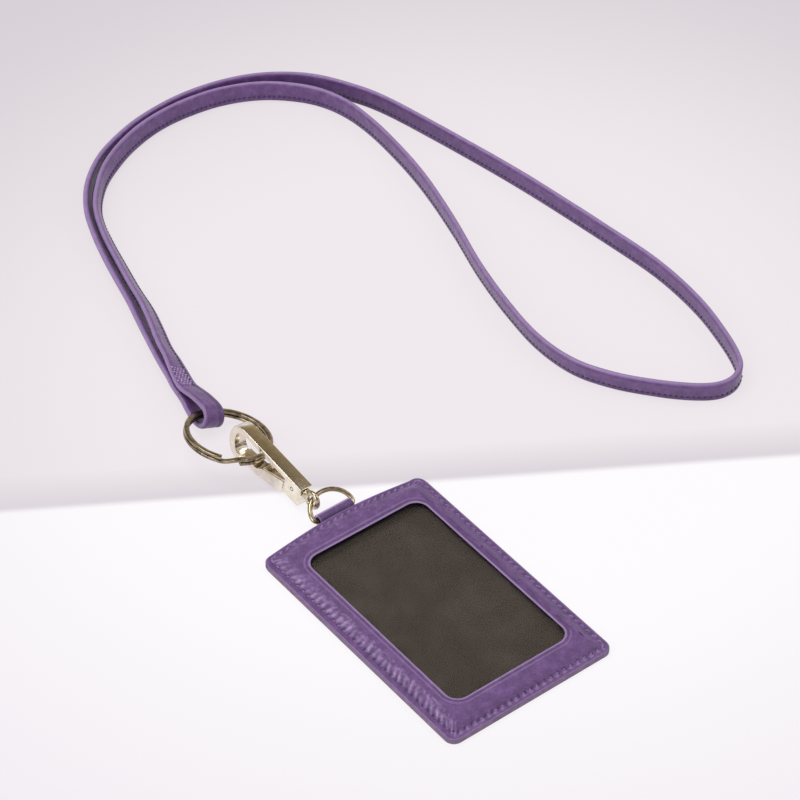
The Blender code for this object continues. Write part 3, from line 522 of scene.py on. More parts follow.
@dataclass(frozen=True)
class FloorFinish(Finish):
    """Uncoated studio paper: a white sheet near the camera, and a lilac grey one beyond a slanting edge."""

    # To the eye: dead matt, with a soft edge between the sheets, and both sheets darkening away from a middle point: a
    # painted pool of light.
    name: str = "studio paper"
    near: str = "FBF9FC"
    near_edge: str = "EEE9EE"
    edge: str = "DBD4DA"
    far: str = "EDE7EB"
    far_edge: str = "D6CFD5"
    line_start: tuple[float, float] = (-0.0914, 0.1333)
    line_end: tuple[float, float] = (0.1530, -0.0194)
    middle: tuple[float, float] = (0.087, 0.090)
    fade_from: float = 0.11
    fade_to: float = 0.30
    band: float = 0.016
    blur: float = 0.004
    shown_share: float = 0.88

    def paint(self, tree: bpy.types.NodeTree, shader: bpy.types.Node, spot: bpy.types.NodeSocket) -> None:
        """The paper shows its own colour to the camera and in reflections, and keeps a soft shadow.

        Args:
            tree: The material's node tree.
            shader: Its Principled shader, which is taken out.
            spot: Object coordinates.
        """
        mix, soft = {"data_type": "RGBA"}, {"interpolation_type": "SMOOTHSTEP"}
        turn = math.atan2(self.line_end[1] - self.line_start[1], self.line_end[0] - self.line_start[0])
        start = add_node(tree, "VectorMath", {0: spot, 1: (*self.line_start, 0)}, operation="SUBTRACT").outputs[0]
        turned = add_node(tree, "VectorRotate", {"Vector": start, "Angle": -turn}, rotation_type="Z_AXIS").outputs[0]
        beyond = add_node(tree, "SeparateXYZ", {"Vector": turned}).outputs["Y"]
        # Painted light: each sheet is lightest round a middle point and darkens outward.
        away = add_node(tree, "VectorMath", {0: spot, 1: (*self.middle, 0)}, operation="DISTANCE").outputs["Value"]
        ends = {"From Min": self.fade_from, "From Max": self.fade_to}
        fade = add_node(tree, "MapRange", {"Value": away, **ends}, **soft).outputs[0]
        near = add_node(tree, "Mix", {0: fade, 6: self.near, 7: self.near_edge}, **mix).outputs[2]
        far = add_node(tree, "Mix", {0: fade, 6: self.far, 7: self.far_edge}, **mix).outputs[2]
        past_edge = add_node(tree, "MapRange", {"Value": beyond, "From Max": self.band}).outputs[0]
        far = add_node(tree, "Mix", {0: past_edge, 6: self.edge, 7: far}, **mix).outputs[2]
        ends = {"From Min": -self.blur, "From Max": 0.0}
        step = add_node(tree, "MapRange", {"Value": beyond, **ends}, **soft).outputs[0]
        colour = add_node(tree, "Mix", {0: step, 6: near, 7: far}, **mix).outputs[2]
        matt = add_node(tree, "BsdfDiffuse", {"Color": colour}).outputs[0]
        shown = add_node(tree, "Emission", {"Color": colour, "Strength": 1.0}).outputs[0]
        path = add_node(tree, "LightPath").outputs
        seen = add_node(tree, "Math", {0: path["Is Camera Ray"], 1: path["Is Glossy Ray"]}, operation="MAXIMUM")
        seen = add_node(tree, "Math", {0: seen.outputs[0], 1: path["Is Transmission Ray"]}, operation="MAXIMUM")
        share = add_node(tree, "Math", {0: seen.outputs[0], 1: self.shown_share}, operation="MULTIPLY").outputs[0]
        paper = add_node(tree, "MixShader", {0: share, 1: matt, 2: shown}).outputs[0]
        connect(tree, tree.nodes["Material Output"], {"Surface": paper})
        tree.nodes.remove(shader)


@dataclass
class Studio:
    """Floor, lights, world and the photograph's camera."""

    camera_place: Place3 = (-0.4920, -0.6144, 0.8240)
    looks_along: Place3 = (0.613, 0.79, 0)
    looks_down: float = math.radians(42.71)
    lens: float = 148.5
    sensor: float = 36.0
    nearest: float = 0.01
    floor_size: float = 6.0
    floor_height: float = -0.0001
    lamps_aim: Place3 = (0.03, 0.1, 0)
    lamps: tuple[tuple[str, Place3, float, float, str], ...] = (
        ("soft box above", (-0.25, 0.45, 1.5), 1.0, 13.0, "FFFDFB"),
        ("soft box left", (-1.2, -0.1, 0.9), 0.8, 7.0, "FFFFFF"),
        ("soft box right", (1.1, -0.5, 1.2), 0.9, 6.0, "FBFCFF"),
    )
    room: tuple[tuple[float, str], ...] = (
        (0.0, "F6F2F4"),
        (0.22, "EDE8E8"),
        (0.42, "A8997F"),
        (0.62, "8C7C61"),
        (0.85, "665A46"),
        (1.0, "8A8172"),
    )
    glow: str = "E9E7EC"
    glow_strength: float = 0.62

    def build(self) -> None:
        """Adds everything that isn't the object."""
        self.add_camera()
        self.add_floor()
        self.add_lights()
        self.set_world()
        bpy.context.scene.view_settings.view_transform = "Standard"

    def add_camera(self) -> None:
        """Puts the camera where the photograph was taken from."""
        data = bpy.data.cameras.new("camera")
        data.lens = self.lens
        data.sensor_width = self.sensor
        data.clip_start = self.nearest
        camera = bpy.data.objects.new("camera", data)
        bpy.context.scene.collection.objects.link(camera)
        level = Vector(self.looks_along).normalized()
        ahead = (level * math.cos(self.looks_down) - UP * math.sin(self.looks_down)).normalized()
        right = ahead.cross(UP).normalized()
        turn = Matrix((right, right.cross(ahead), -ahead)).transposed().to_4x4()
        camera.matrix_world = Matrix.Translation(self.camera_place) @ turn
        bpy.context.scene.camera = camera

    def add_floor(self) -> None:
        """A pale table, white near the camera and lilac grey beyond a slanting line."""
        deselect()
        bpy.ops.mesh.primitive_plane_add(size=self.floor_size, location=(0, 0, self.floor_height))
        floor = bpy.context.object
        floor.name = "floor"
        place_in_mesh(floor)
        floor.data.materials.append(FloorFinish().material())

    def add_lights(self) -> None:
        """A soft box beyond the object, and one over each of the camera's shoulders."""
        for name, place, size, watts, colour in self.lamps:
            data = bpy.data.lights.new(name, "AREA")
            data.shape = "SQUARE"
            data.size = size
            data.energy = watts
            data.color = linear(colour)[:3]
            lamp = bpy.data.objects.new(name, data)
            bpy.context.scene.collection.objects.link(lamp)
            turn = (Vector(self.lamps_aim) - Vector(place)).to_track_quat("-Z", "Y").to_matrix()
            lamp.matrix_world = Matrix.Translation(place) @ turn.to_4x4()

    def set_world(self) -> None:
        """Even pale light, with a dim warm room high up for polished metal to show."""
        world = bpy.data.worlds.new("studio")
        world.use_nodes = True
        bpy.context.scene.world = world
        tree = world.node_tree
        tree.nodes.clear()
        way = add_node(tree, "TexCoord").outputs["Generated"]
        height = add_node(tree, "SeparateXYZ", {"Vector": way}).outputs["Z"]
        room = add_node(tree, "ValToRGB", {"Fac": height}, self.room).outputs["Color"]
        shown = add_node(tree, "Background", {"Color": room, "Strength": 1.0}).outputs[0]
        lit = add_node(tree, "Background", {"Color": self.glow, "Strength": self.glow_strength}).outputs[0]
        glossy = add_node(tree, "LightPath").outputs["Is Glossy Ray"]
        mix = add_node(tree, "MixShader", {0: glossy, 1: lit, 2: shown}).outputs[0]
        add_node(tree, "OutputWorld", {"Surface": mix})


def deselect() -> None:
    """Leaves edit mode and selects nothing."""
    if bpy.context.object and bpy.context.object.mode != "OBJECT":
        bpy.ops.object.mode_set(mode="OBJECT")
    bpy.ops.object.select_all(action="DESELECT")


def activate(piece: bpy.types.Object) -> None:
    """Selects one object and makes it active.

    Args:
        piece: The object.
    """
    deselect()
    piece.select_set(True)
    bpy.context.view_layer.objects.active = piece


def place_in_mesh(piece: bpy.types.Object) -> None:
    """Moves an object's place into its mesh."""
    activate(piece)
    bpy.ops.object.transform_apply(location=True, rotation=True, scale=True)


def new_piece(name: str, mesh: bpy.types.Mesh, finish: Finish) -> bpy.types.Object:
    """Links a mesh as an object at the origin.

    Args:
        name: The piece's name.
        mesh: Its mesh.
        finish: What it is made of.

    Returns:
        The piece.
    """
    piece = bpy.data.objects.new(name, mesh)
    bpy.context.scene.collection.objects.link(piece)
    mesh.materials.clear()
    mesh.materials.append(finish.material())
    return piece


def smooth(piece: bpy.types.Object, angle: float = 40.0) -> None:
    """Smooth shading, sharp only at edges over an angle in degrees."""
    activate(piece)
    bpy.ops.object.shade_smooth_by_angle(angle=math.radians(angle))


def ride(piece: bpy.types.Object, body: Body, slot: Slot, replaced: Sequence[str] = ()) -> bpy.types.Object:
    """Makes a piece move with its body.

    Args:
        piece: The piece.
        body: The body it rides on.
        slot: The record's material slot. Not used.
        replaced: The CAD solids that it stands for.

    Returns:
        The piece.
    """
    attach(piece, body.value)
    if replaced:
        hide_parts(*replaced)
    LOG.info("%s rides on %s", piece.name, body.value)
    return piece


def dress(node: str, finish: Finish) -> None:
    """Gives a CAD solid that stays as it is its finish."""
    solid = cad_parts[node]
    solid.data.materials.clear()
    solid.data.materials.append(finish.material())
    LOG.info("%s dressed in %s", node, finish.name)


def sweep(
    name: str,
    stations: Sequence[Station],
    profile: Outline,
    finish: Finish,
    closed: bool = False,
    wear_and_highlight: Sequence[float] | None = None,
    seam: Sequence[float] | None = None,
    proud: Callable[[int, int], float] | None = None,
) -> bpy.types.Object:
    """A strip or wire with one profile along its stations.

    Args:
        name: The piece's name.
        stations: The sections, in order.
        profile: The section's outline, anticlockwise as seen against the run.
        finish: What it is made of.
        closed: Whether the last station joins the first.
        wear_and_highlight: How much of the pale colour each of the profile's points takes, from 0 to 1, for painted
            highlights and pale edges.
        seam: How much painted shade each of the profile's points takes, from 0 to 1.
        proud: How far a point stands out along its outward direction, by station and profile point.

    Returns:
        The piece, at the origin.
    """
    bm = bmesh.new()
    # Two layers: painted highlight with pale edges, and painted shade.
    wear_and_highlight_layer = bm.verts.layers.float.new("wear_and_highlight")
    dark = bm.verts.layers.float.new("seam")
    rings = []
    for i, station in enumerate(stations):
        ring = []
        for k, (x, y) in enumerate(profile):
            out = Vector((x, y)).normalized() * (proud(i, k) if proud else 0.0)
            vert = bm.verts.new(station.place + station.right * (x + out.x) + station.up * (y + out.y))
            vert[wear_and_highlight_layer] = wear_and_highlight[k] if wear_and_highlight else 0.0
            vert[dark] = seam[k] if seam else 0.0
            ring.append(vert)
        rings.append(ring)
    pairs = list(zip(rings, rings[1:]))
    if closed:
        pairs.append((rings[-1], rings[0]))
    count = len(profile)
    for first, second in pairs:
        for k in range(count):
            j = (k + 1) % count
            bm.faces.new((first[k], second[k], second[j], first[j]))
    if not closed:
        bm.faces.new(rings[0])
        bm.faces.new(reversed(rings[-1]))
    bmesh.ops.recalc_face_normals(bm, faces=bm.faces)
    mesh = bpy.data.meshes.new(name)
    bm.to_mesh(mesh)
    bm.free()
    return new_piece(name, mesh, finish)


def tint(piece: bpy.types.Object, layer: str, shade: Callable[[Vector], float]) -> None:
    """Sets one of the leather's layers, painted highlight or painted shade, from each point's place.

    Args:
        piece: The piece.
        layer: The layer's name, wear_and_highlight or seam.
        shade: Gives the layer's value at a place.
    """
    values = piece.data.attributes[layer].data
    for vert in piece.data.vertices:
        values[vert.index].value = shade(vert.co)


def copies(name: str, source: bpy.types.Object, places: Iterable[Matrix], finish: Finish) -> bpy.types.Object:
    """One piece from copies of a small mesh.

    Args:
        name: The new piece's name.
        source: The object to copy, which is then removed.
        places: Where each copy goes.
        finish: What it is made of.

    Returns:
        The piece, at the origin.
    """
    points: list[Vector] = []
    faces: list[list[int]] = []
    for place in places:
        first = len(points)
        points += [place @ v.co for v in source.data.vertices]
        faces += [[first + i for i in polygon.vertices] for polygon in source.data.polygons]
    mesh = bpy.data.meshes.new(name)
    mesh.from_pydata(points, [], faces)
    bpy.data.objects.remove(source)
    piece = new_piece(name, mesh, finish)
    mesh.shade_smooth()
    return piece


def one_stitch(length: float, radius: float) -> bpy.types.Object:
    """A single stitch along X: a short rounded thread whose ends dive into the leather.

    Args:
        length: From end to end.
        radius: Half its width. It is a little flatter than that.

    Returns:
        The stitch, at the origin.
    """
    flatness, dive = 0.8, 0.9
    deselect()
    bpy.ops.mesh.primitive_uv_sphere_add(segments=8, ring_count=6, radius=1.0)
    stitch = bpy.context.object
    bpy.ops.object.mode_set(mode="EDIT")
    bpy.ops.mesh.select_all(action="SELECT")
    bpy.ops.transform.rotate(value=math.pi / 2, orient_axis="Y", center_override=(0, 0, 0))
    bpy.ops.transform.resize(value=(length / 2, radius, radius * flatness), center_override=(0, 0, 0))
    bpy.ops.object.mode_set(mode="OBJECT")
    for vert in stitch.data.vertices:
        vert.co.z -= radius * dive * (abs(vert.co.x) / (length / 2)) ** 3
    return stitch


def polished_copy(node: str, body: Body, finish: Finish, angle: float = 32.0) -> bpy.types.Object:
    """A cleaned and smoothly shaded copy of a solid.

    Args:
        node: The solid's name.
        body: What it rides on.
        finish: What it is made of.
        angle: Edges sharper than this many degrees stay sharp.

    Returns:
        The piece, in the solid's place.
    """
    flat_within = math.radians(0.3)
    piece = new_piece(node + "_plated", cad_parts[node].data.copy(), finish)
    activate(piece)
    bpy.ops.object.mode_set(mode="EDIT")
    bpy.ops.mesh.select_all(action="SELECT")
    bpy.ops.mesh.remove_doubles(threshold=MERGE)
    bpy.ops.mesh.dissolve_limited(angle_limit=flat_within)
    bpy.ops.object.mode_set(mode="OBJECT")
    smooth(piece, angle)
    return ride(piece, body, Slot.METAL, [node])


@dataclass(frozen=True)
class Pucker:
    """How the leather gathers beside one stitch: its share of the full height, and its shape in millimetres."""

    strength: float
    reach: float
    slant: float
    offset: float


@dataclass
class CardHolder:
    """The pocket: a leather front with a window, its seam and stitches, a back, and the tab for the D ring."""

    width: float = 0.0700
    length: float = 0.1070
    corner: float = 0.0036
    tightest_corner: float = 0.0018
    back: float = 0.0010
    back_edge: float = 0.0002
    leather: float = 0.000765
    seam_top: float = 0.0022
    window_top: float = 0.0041
    window_width: float = 0.0504
    window_length: float = 0.0840
    window_corner: float = 0.0050
    window_middle: tuple[float, float] = (0.0010, 0.0006)
    border_rings: int = 6
    mouth_rise: float = 0.0031
    mouth_half_width: float = 0.0310
    mouth_fade: float = 0.0105
    mouth_middle: float = -0.0010
    paint_width: float = 0.0004
    paint_rounding: float = 0.00018
    stitch_inset: float = 0.0022
    stitch_shift: tuple[float, float] = (0.0005, 0.0005)
    stitch_pitch: float = 0.00285
    stitch_length: float = 0.0019
    stitch_radius: float = 0.00028
    stitch_slant: float = math.radians(20)
    pucker_height: float = 0.00030
    hole_depth: float = 0.00032
    furrow_depth: float = 0.00006
    crumple_height: float = 0.00016
    bar: Place3 = (-0.0010, 0.0559, 0.0030)
    tab_width: float = 0.0146
    tab_leather: float = 0.0009
    tab_rounding: float = 0.0003
    tab_loop: float = 0.0021
    tab_turn: float = math.radians(125)
    tab_lower: tuple[tuple[float, float], ...] = ((0.0470, 0.00175), (0.0500, 0.00175), (0.0538, 0.00175))
    tab_upper: tuple[tuple[float, float], ...] = ((0.0532, 0.00295), (0.0500, 0.00295), (0.0470, 0.00295))
    outline_points: int = 1200
    section: tuple[tuple[float, float], ...] = (
        (0.0, -0.0003), (0.0002, -0.00008), (0.0006, 0.0), (0.0011, 0.0), (0.0014, 0.0), (0.0017, 0.0),
        (0.002, 0.0), (0.0023, 0.00002), (0.0026, 0.00008), (0.003, 0.00024), (0.0034, 0.00052), (0.0039, 0.00088),
        (0.0044, 0.0012), (0.0049, 0.00148), (0.0054, 0.0017), (0.0059, 0.00184), (0.0065, 0.0019),
    )
    # Each ring of the lip: its distance from the window's edge, its lift, its painted highlight and its painted shade.
    lip: tuple[tuple[float, float, float, float], ...] = (
        (0.0026, 0.00002, 0.0, 0.0), (0.0021, 0.00008, 0.24, 0.0), (0.0017, 0.00002, 0.0, 0.0),
        (0.0013, -0.00008, 0.0, 0.4), (0.0009, 0.0, 0.0, 0.0), (0.0005, 0.00003, 0.42, 0.0),
        (0.0002, 0.00002, 0.42, 0.0), (0.0, -0.00012, 0.42, 0.0),
    )

    def build(self) -> None:
        """Builds the pieces that ride on the holder."""
        self.front()
        self.back_ply()
        self.edge_paint()
        for name, top in (("front_seam_stitches", True), ("back_seam_stitches", False)):
            source = one_stitch(self.stitch_length, self.stitch_radius)
            ride(copies(name, source, self.stitch_places(top), ThreadFinish()), Body.HOLDER, Slot.LEATHER)
        self.tab()
        dress("pocket_lining", LiningFinish())
        dress("window_film", FilmFinish())

    def mouth_bow(self, x: float, y: float) -> float:
        """How far the pocket's mouth lifts the front panel.

        Args:
            x: A place across the holder.
            y: A place along it.

        Returns:
            The lift there.
        """
        across = min(abs(x - self.mouth_middle) / self.mouth_half_width, 1)
        along = max((y - self.length / 2 + self.mouth_fade) / self.mouth_fade, 0)
        return self.mouth_rise * math.cos(across * math.pi / 2) * along**2 * (3 - 2 * along)

    def outline(self, width: float, length: float, corner: float, middle: tuple[float, float]) -> list[Vector]:
        """Points round a rectangle with round corners, spread as they are round the holder.

        Args:
            width: The rectangle's size across the holder.
            length: Its size along the holder.
            corner: Its corners' radius.
            middle: Its middle.

        Returns:
            The points, anticlockwise from the low end of the right side.
        """
        straight_x, straight_y = width / 2 - corner, length / 2 - corner
        sides = (self.length - 2 * self.corner, self.width - 2 * self.corner)
        turn = self.corner * math.pi / 2
        whole = 2 * sum(sides) + 4 * turn
        points = []
        for i in range(self.outline_points):
            run = i / self.outline_points * whole
            for quarter in range(4):
                side = sides[quarter % 2]
                start = quarter * math.pi / 2
                heading = start + math.pi / 2
                centre_x = (1, -1, -1, 1)[quarter] * straight_x + middle[0]
                centre = Vector((centre_x, (1, 1, -1, -1)[quarter] * straight_y + middle[1], 0))
                if run < side:
                    half = straight_y if quarter % 2 == 0 else straight_x
                    back = Vector((math.cos(heading), math.sin(heading), 0)) * (2 * half * (1 - run / side))
                    points.append(centre + Vector((math.cos(start), math.sin(start), 0)) * corner - back)
                    break
                run -= side
                if run < turn:
                    angle = start + run / turn * math.pi / 2
                    points.append(centre + Vector((math.cos(angle), math.sin(angle), 0)) * corner)
                    break
                run -= turn
        return points

    def front_rings(self) -> list[Ring]:
        """The front panel's rings: seam, puckered rise, border and lip.

        Returns:
            The rings' places, painted highlight and painted shade, from the outside in.
        """
        rng = random.Random(7)
        count = round(self.seam_length() / self.stitch_pitch)
        spreads = ((0.4, 1.0), (0.9, 2.6), (-0.35, 0.15), (-0.3, 0.3))
        puckers = [Pucker(*(rng.uniform(*spread) for spread in spreads)) for _ in range(count)]
        rings: list[Ring] = []
        for inset, lift in self.section:
            corner = max(self.corner - inset, self.tightest_corner)
            loop = self.outline(self.width - 2 * inset, self.length - 2 * inset, corner, (0, 0))
            rings.append(self.lifted(loop, inset, self.seam_top + lift, puckers))
        lips: list[Ring] = []
        for outset, lift, shine, crease in self.lip:
            width, length = self.window_width + 2 * outset, self.window_length + 2 * outset
            loop = self.outline(width, length, self.window_corner + outset, self.window_middle)
            places = [Vector((p.x, p.y, self.window_top + lift + self.mouth_bow(p.x, p.y))) for p in loop]
            lips.append((places, [shine] * len(places), [crease] * len(places)))
        return [*rings, *self.between(rings[-1][0], lips[0][0]), *lips]

    def front(self) -> bpy.types.Object:
        """The front panel, extruded ring by ring and given the leather's thickness.

        Returns:
            The piece.
        """
        rings = self.front_rings()
        deselect()
        bpy.ops.mesh.primitive_circle_add(vertices=self.outline_points, radius=self.length)
        piece = bpy.context.object
        piece.name = "holder_front"
        bpy.ops.object.mode_set(mode="EDIT")
        bpy.ops.mesh.select_all(action="SELECT")
        bm = bmesh.from_edit_mesh(piece.data)
        # Each point carries a painted highlight and a painted shade.
        wear_and_highlight = bm.verts.layers.float.new("wear_and_highlight")
        seam = bm.verts.layers.float.new("seam")
        order = sorted(bm.verts, key=lambda v: math.atan2(v.co.y, v.co.x) % (2 * math.pi))
        for vert, place, shine, shade in zip(order, *rings[0]):
            vert.co, vert[wear_and_highlight], vert[seam] = place, shine, shade
        for ring in rings[1:]:
            edges = [e for e in bm.edges if e.select]
            made = bmesh.ops.extrude_edge_only(bm, edges=edges)["geom"]
            for edge in bm.edges:
                edge.select = False
            fresh = {e for e in made if isinstance(e, bmesh.types.BMVert)}
            twin = {edge.other_vert(v): v for v in fresh for edge in v.link_edges if edge.other_vert(v) not in fresh}
            order = [twin[v] for v in order]
            for vert, place, shine, shade in zip(order, *ring):
                vert.co, vert[wear_and_highlight], vert[seam] = place, shine, shade
            for first, second in zip(order, order[1:] + order[:1]):
                bm.edges.get((first, second)).select = True
        bmesh.update_edit_mesh(piece.data)
        bpy.ops.mesh.select_all(action="SELECT")
        bpy.ops.mesh.normals_make_consistent(inside=False)
        bpy.ops.object.mode_set(mode="OBJECT")
        thickness = piece.modifiers.new("leather", "SOLIDIFY")
        thickness.thickness = self.leather
        thickness.offset = -1
        activate(piece)
        bpy.ops.object.modifier_apply(modifier=thickness.name)
        piece.data.materials.append(LeatherFinish().material())
        smooth(piece, 60)
        return ride(piece, Body.HOLDER, Slot.LEATHER, ["front_panel"])

    def back_ply(self) -> bpy.types.Object:
        """The back: one flat ply with cut, burnished edges.

        Returns:
            The piece.
        """
        size = (self.width, self.length, self.back)
        deselect()
        bpy.ops.mesh.primitive_cube_add(size=1.0, location=(0, 0, self.back / 2), scale=size)
        piece = bpy.context.object
        piece.name = "holder_back"
        place_in_mesh(piece)
        bpy.ops.object.mode_set(mode="EDIT")
        bpy.ops.mesh.select_mode(type="EDGE")
        bpy.ops.mesh.select_all(action="DESELECT")
        bm = bmesh.from_edit_mesh(piece.data)
        for edge in bm.edges:
            edge.select_set(abs(edge.verts[0].co.z - edge.verts[1].co.z) > self.back / 2)
        bmesh.update_edit_mesh(piece.data)
        bpy.ops.mesh.bevel(offset=self.corner, segments=10)
        bpy.ops.mesh.select_all(action="DESELECT")
        bpy.ops.mesh.edges_select_sharp(sharpness=math.radians(60))
        bpy.ops.mesh.bevel(offset=self.back_edge, segments=3)
        bpy.ops.object.mode_set(mode="OBJECT")
        piece.data.materials.append(LeatherFinish().material())
        smooth(piece, 50)
        return ride(piece, Body.HOLDER, Slot.LEATHER, ["back_panel"])

    def edge_paint(self) -> bpy.types.Object:
        """The painted edge that closes the three sewn sides, left off along the pocket's mouth.

        Returns:
            The piece.
        """
        sunk = 0.0001
        low, high = 0.00005, self.seam_top - 0.0002
        loop = self.outline(self.width - sunk, self.length - sunk, self.corner, (0, 0))
        sewn = [i for i, p in enumerate(loop) if p.y < self.length / 2 - self.corner]
        start = next(i for i in sewn if i - 1 not in sewn and i > 0)
        order = [loop[(start + k) % len(loop)] for k in range(0, len(sewn), 3)]
        points = [Vector((p.x, p.y, (low + high) / 2)) for p in order]
        profile = rounded_box(self.paint_width, high - low, self.paint_rounding)
        piece = sweep("holder_edge_paint", stations_in_plane(points, UP), profile, EdgePaintFinish())
        smooth(piece, 60)
        return ride(piece, Body.HOLDER, Slot.LEATHER)

    def seam_length(self) -> float:
        """Length of the stitched line round the holder."""
        width, length = self.width - 2 * self.stitch_inset, self.length - 2 * self.stitch_inset
        corner = self.corner - self.stitch_inset
        return 2 * (width + length - 4 * corner) + 2 * math.pi * corner

    def lifted(self, loop: list[Vector], inset: float, height: float, puckers: list[Pucker]) -> Ring:
        """One ring of the section, with the seam's holes, furrow, gathers and crumples.

        The gathers run inward from the stitches on the left side and outward on the near side, and are faint
        elsewhere. Distances in the falls below are in millimetres.

        Args:
            loop: The ring in plan.
            inset: Its distance from the holder's edge.
            height: Its height before the puckers.
            puckers: The pucker beside each stitch.

        Returns:
            The ring's places, its painted highlight and its painted shade.
        """
        ridge_width, hole_width, furrow_width = 0.62, 0.42, 0.45
        places, wear_and_highlight, shade = [], [], []
        count = len(puckers)
        pitch = self.seam_length() / count / MM
        painted = 0.3 * (0.0001 < inset < 0.0005)
        for i, (point, run) in enumerate(zip(loop, headings(loop, closed=True))):
            phase = i / len(loop) * count
            out_x, out_y = run.y, -run.x
            seam = self.stitch_inset - out_x * self.stitch_shift[0] - out_y * self.stitch_shift[1]
            left, low, top = (max(side, 0.0) ** 2 for side in (-out_x, -out_y, out_y))
            inward = (inset - seam) / MM
            gathers = 0.0
            for k in (int(phase) - 1, int(phase), int(phase) + 1):
                pucker = puckers[k % count]
                beside = (phase - k - 0.5) * pitch - pucker.offset
                ridge = bell(beside - pucker.slant * max(inward, 0.0), ridge_width) * smoothstep(-0.1, 0.5, inward)
                gathers += left * pucker.strength * ridge * bell(max(inward - 0.5, 0.0), pucker.reach)
                gathers += (1 - left - low) * 0.4 * pucker.strength * ridge * bell(max(inward - 0.3, 0.0), 0.8)
                gathers += low * 0.5 * bell(beside, 0.7) * bell(inward + 1.0, 0.5)
            furrow = bell(inward, furrow_width)
            hole = (0.45 + 0.55 * min(left + low, 1.0)) * bell((phase - round(phase)) * pitch, hole_width) * furrow
            drift = noise.noise(point * 260) * 0.00010
            drift += noise.noise(point * 90) * 0.00012 * smoothstep(0.002, 0.005, inset)
            rough = (left + 0.6 * top) * smoothstep(0.3, 1.0, inward) * smoothstep(7.0, 3.5, inward)
            crumple = noise.noise(Vector((point.x, point.y, inset)) * 820) * rough
            lift = self.pucker_height * gathers - self.hole_depth * hole - self.furrow_depth * furrow
            lift += (drift + self.crumple_height * crumple) * smoothstep(0.0, 0.001, inset)
            places.append(Vector((point.x, point.y, height + lift + self.mouth_bow(point.x, point.y))))
            # Painted highlight on the gathers and the raised crumples, with a paler line near the outer edge; painted
            # shade in the holes, the furrow and the sunken crumples.
            wear_and_highlight.append(min(0.8 * gathers + 0.45 * max(crumple, 0.0), 0.85) + painted)
            shade.append(min(1.3 * hole + 0.2 * furrow + 0.45 * max(-crumple, 0.0), 1.0))
        return places, wear_and_highlight, shade

    def between(self, outer: list[Vector], inner: list[Vector]) -> list[Ring]:
        """Rings of the flat border between the rise and the lip, very slightly uneven.

        Args:
            outer: The rise's last ring.
            inner: The lip's first ring.

        Returns:
            The rings between them, with no painted highlight or shade.
        """
        rings = []
        for k in range(1, self.border_rings):
            places = [first.lerp(second, k / self.border_rings) for first, second in zip(outer, inner)]
            for place in places:
                place.z += noise.noise(place * 150) * 0.00008
            rings.append((places, [0.0] * len(places), [0.0] * len(places)))
        return rings

    def stitch_places(self, top: bool) -> list[Matrix]:
        """Where the seam's stitches lie.

        Args:
            top: Whether they are the front's, and not the back's, which stop beside the tab.

        Returns:
            One place a stitch.
        """
        inset, tab_half = self.stitch_inset, 0.0078
        proud, sunk, under = 0.00002, -0.00010, -0.00004
        count = round(self.seam_length() / self.stitch_pitch)
        loop = self.outline(self.width - 2 * inset, self.length - 2 * inset, self.corner - inset, self.stitch_shift)
        runs = headings(loop, closed=True)
        places = []
        for k in range(count):
            i = round((k + 0.5) / count * len(loop)) % len(loop)
            point, run = loop[i], runs[i]
            if not top and abs(point.x - self.mouth_middle) < tab_half and point.y > 0:
                continue
            shows = run.y > 0.5 or run.x < -0.5
            height = self.seam_top + (proud if shows else sunk) + self.mouth_bow(point.x, point.y) if top else under
            place = facing(Vector((point.x, point.y, height)), run, UP if top else -UP)
            places.append(place @ Matrix.Rotation(self.stitch_slant, 4, "Z"))
        return places

    def tab(self) -> bpy.types.Object:
        """The tab folded round the D ring's bar, with painted shade in the crease by the panel and underneath, and a
        painted highlight over the fold.

        Returns:
            The piece.
        """
        bar = Vector(self.bar)
        path = [Vector((bar.x, y, z)) for y, z in self.tab_lower]
        for i in range(25):
            angle = -self.tab_turn + 2 * self.tab_turn * i / 24
            path.append(bar + Vector((0, math.cos(angle), math.sin(angle))) * self.tab_loop)
        path += [Vector((bar.x, y, z)) for y, z in self.tab_upper]
        profile = rounded_box(self.tab_leather, self.tab_width, self.tab_rounding)
        # The tab takes a darker copy of the panels' leather: painted shade.
        leather = LeatherFinish(name="embossed purple leather, tab", deep="4C3060", middle="5C3C74", pale="6F508A")
        piece = sweep("ring_tab_leather", stations_in_plane(path, Vector((1, 0, 0))), profile, leather)
        smooth(piece, 50)
        cut = self.tab_width / 2 - 0.0002

        def crease(p: Vector) -> float:
            """How much painted shade the tab has at a place."""
            return 0.75 * smoothstep(0.0552, 0.0538, p.y) * (p.z > bar.z - 0.001) + 0.25 * (p.z < bar.z)

        def highlight_and_cut_edge(p: Vector) -> float:
            """How pale the tab is at a place: a painted highlight over the fold, and its paler cut edges."""
            return 0.8 * smoothstep(0.0561, 0.0570, p.y) * (p.z > bar.z) + 0.3 * (abs(p.x - bar.x) > cut)

        tint(piece, "seam", crease)
        tint(piece, "wear_and_highlight", highlight_and_cut_edge)
        return ride(piece, Body.HOLDER, Slot.LEATHER, ["ring_tab"])


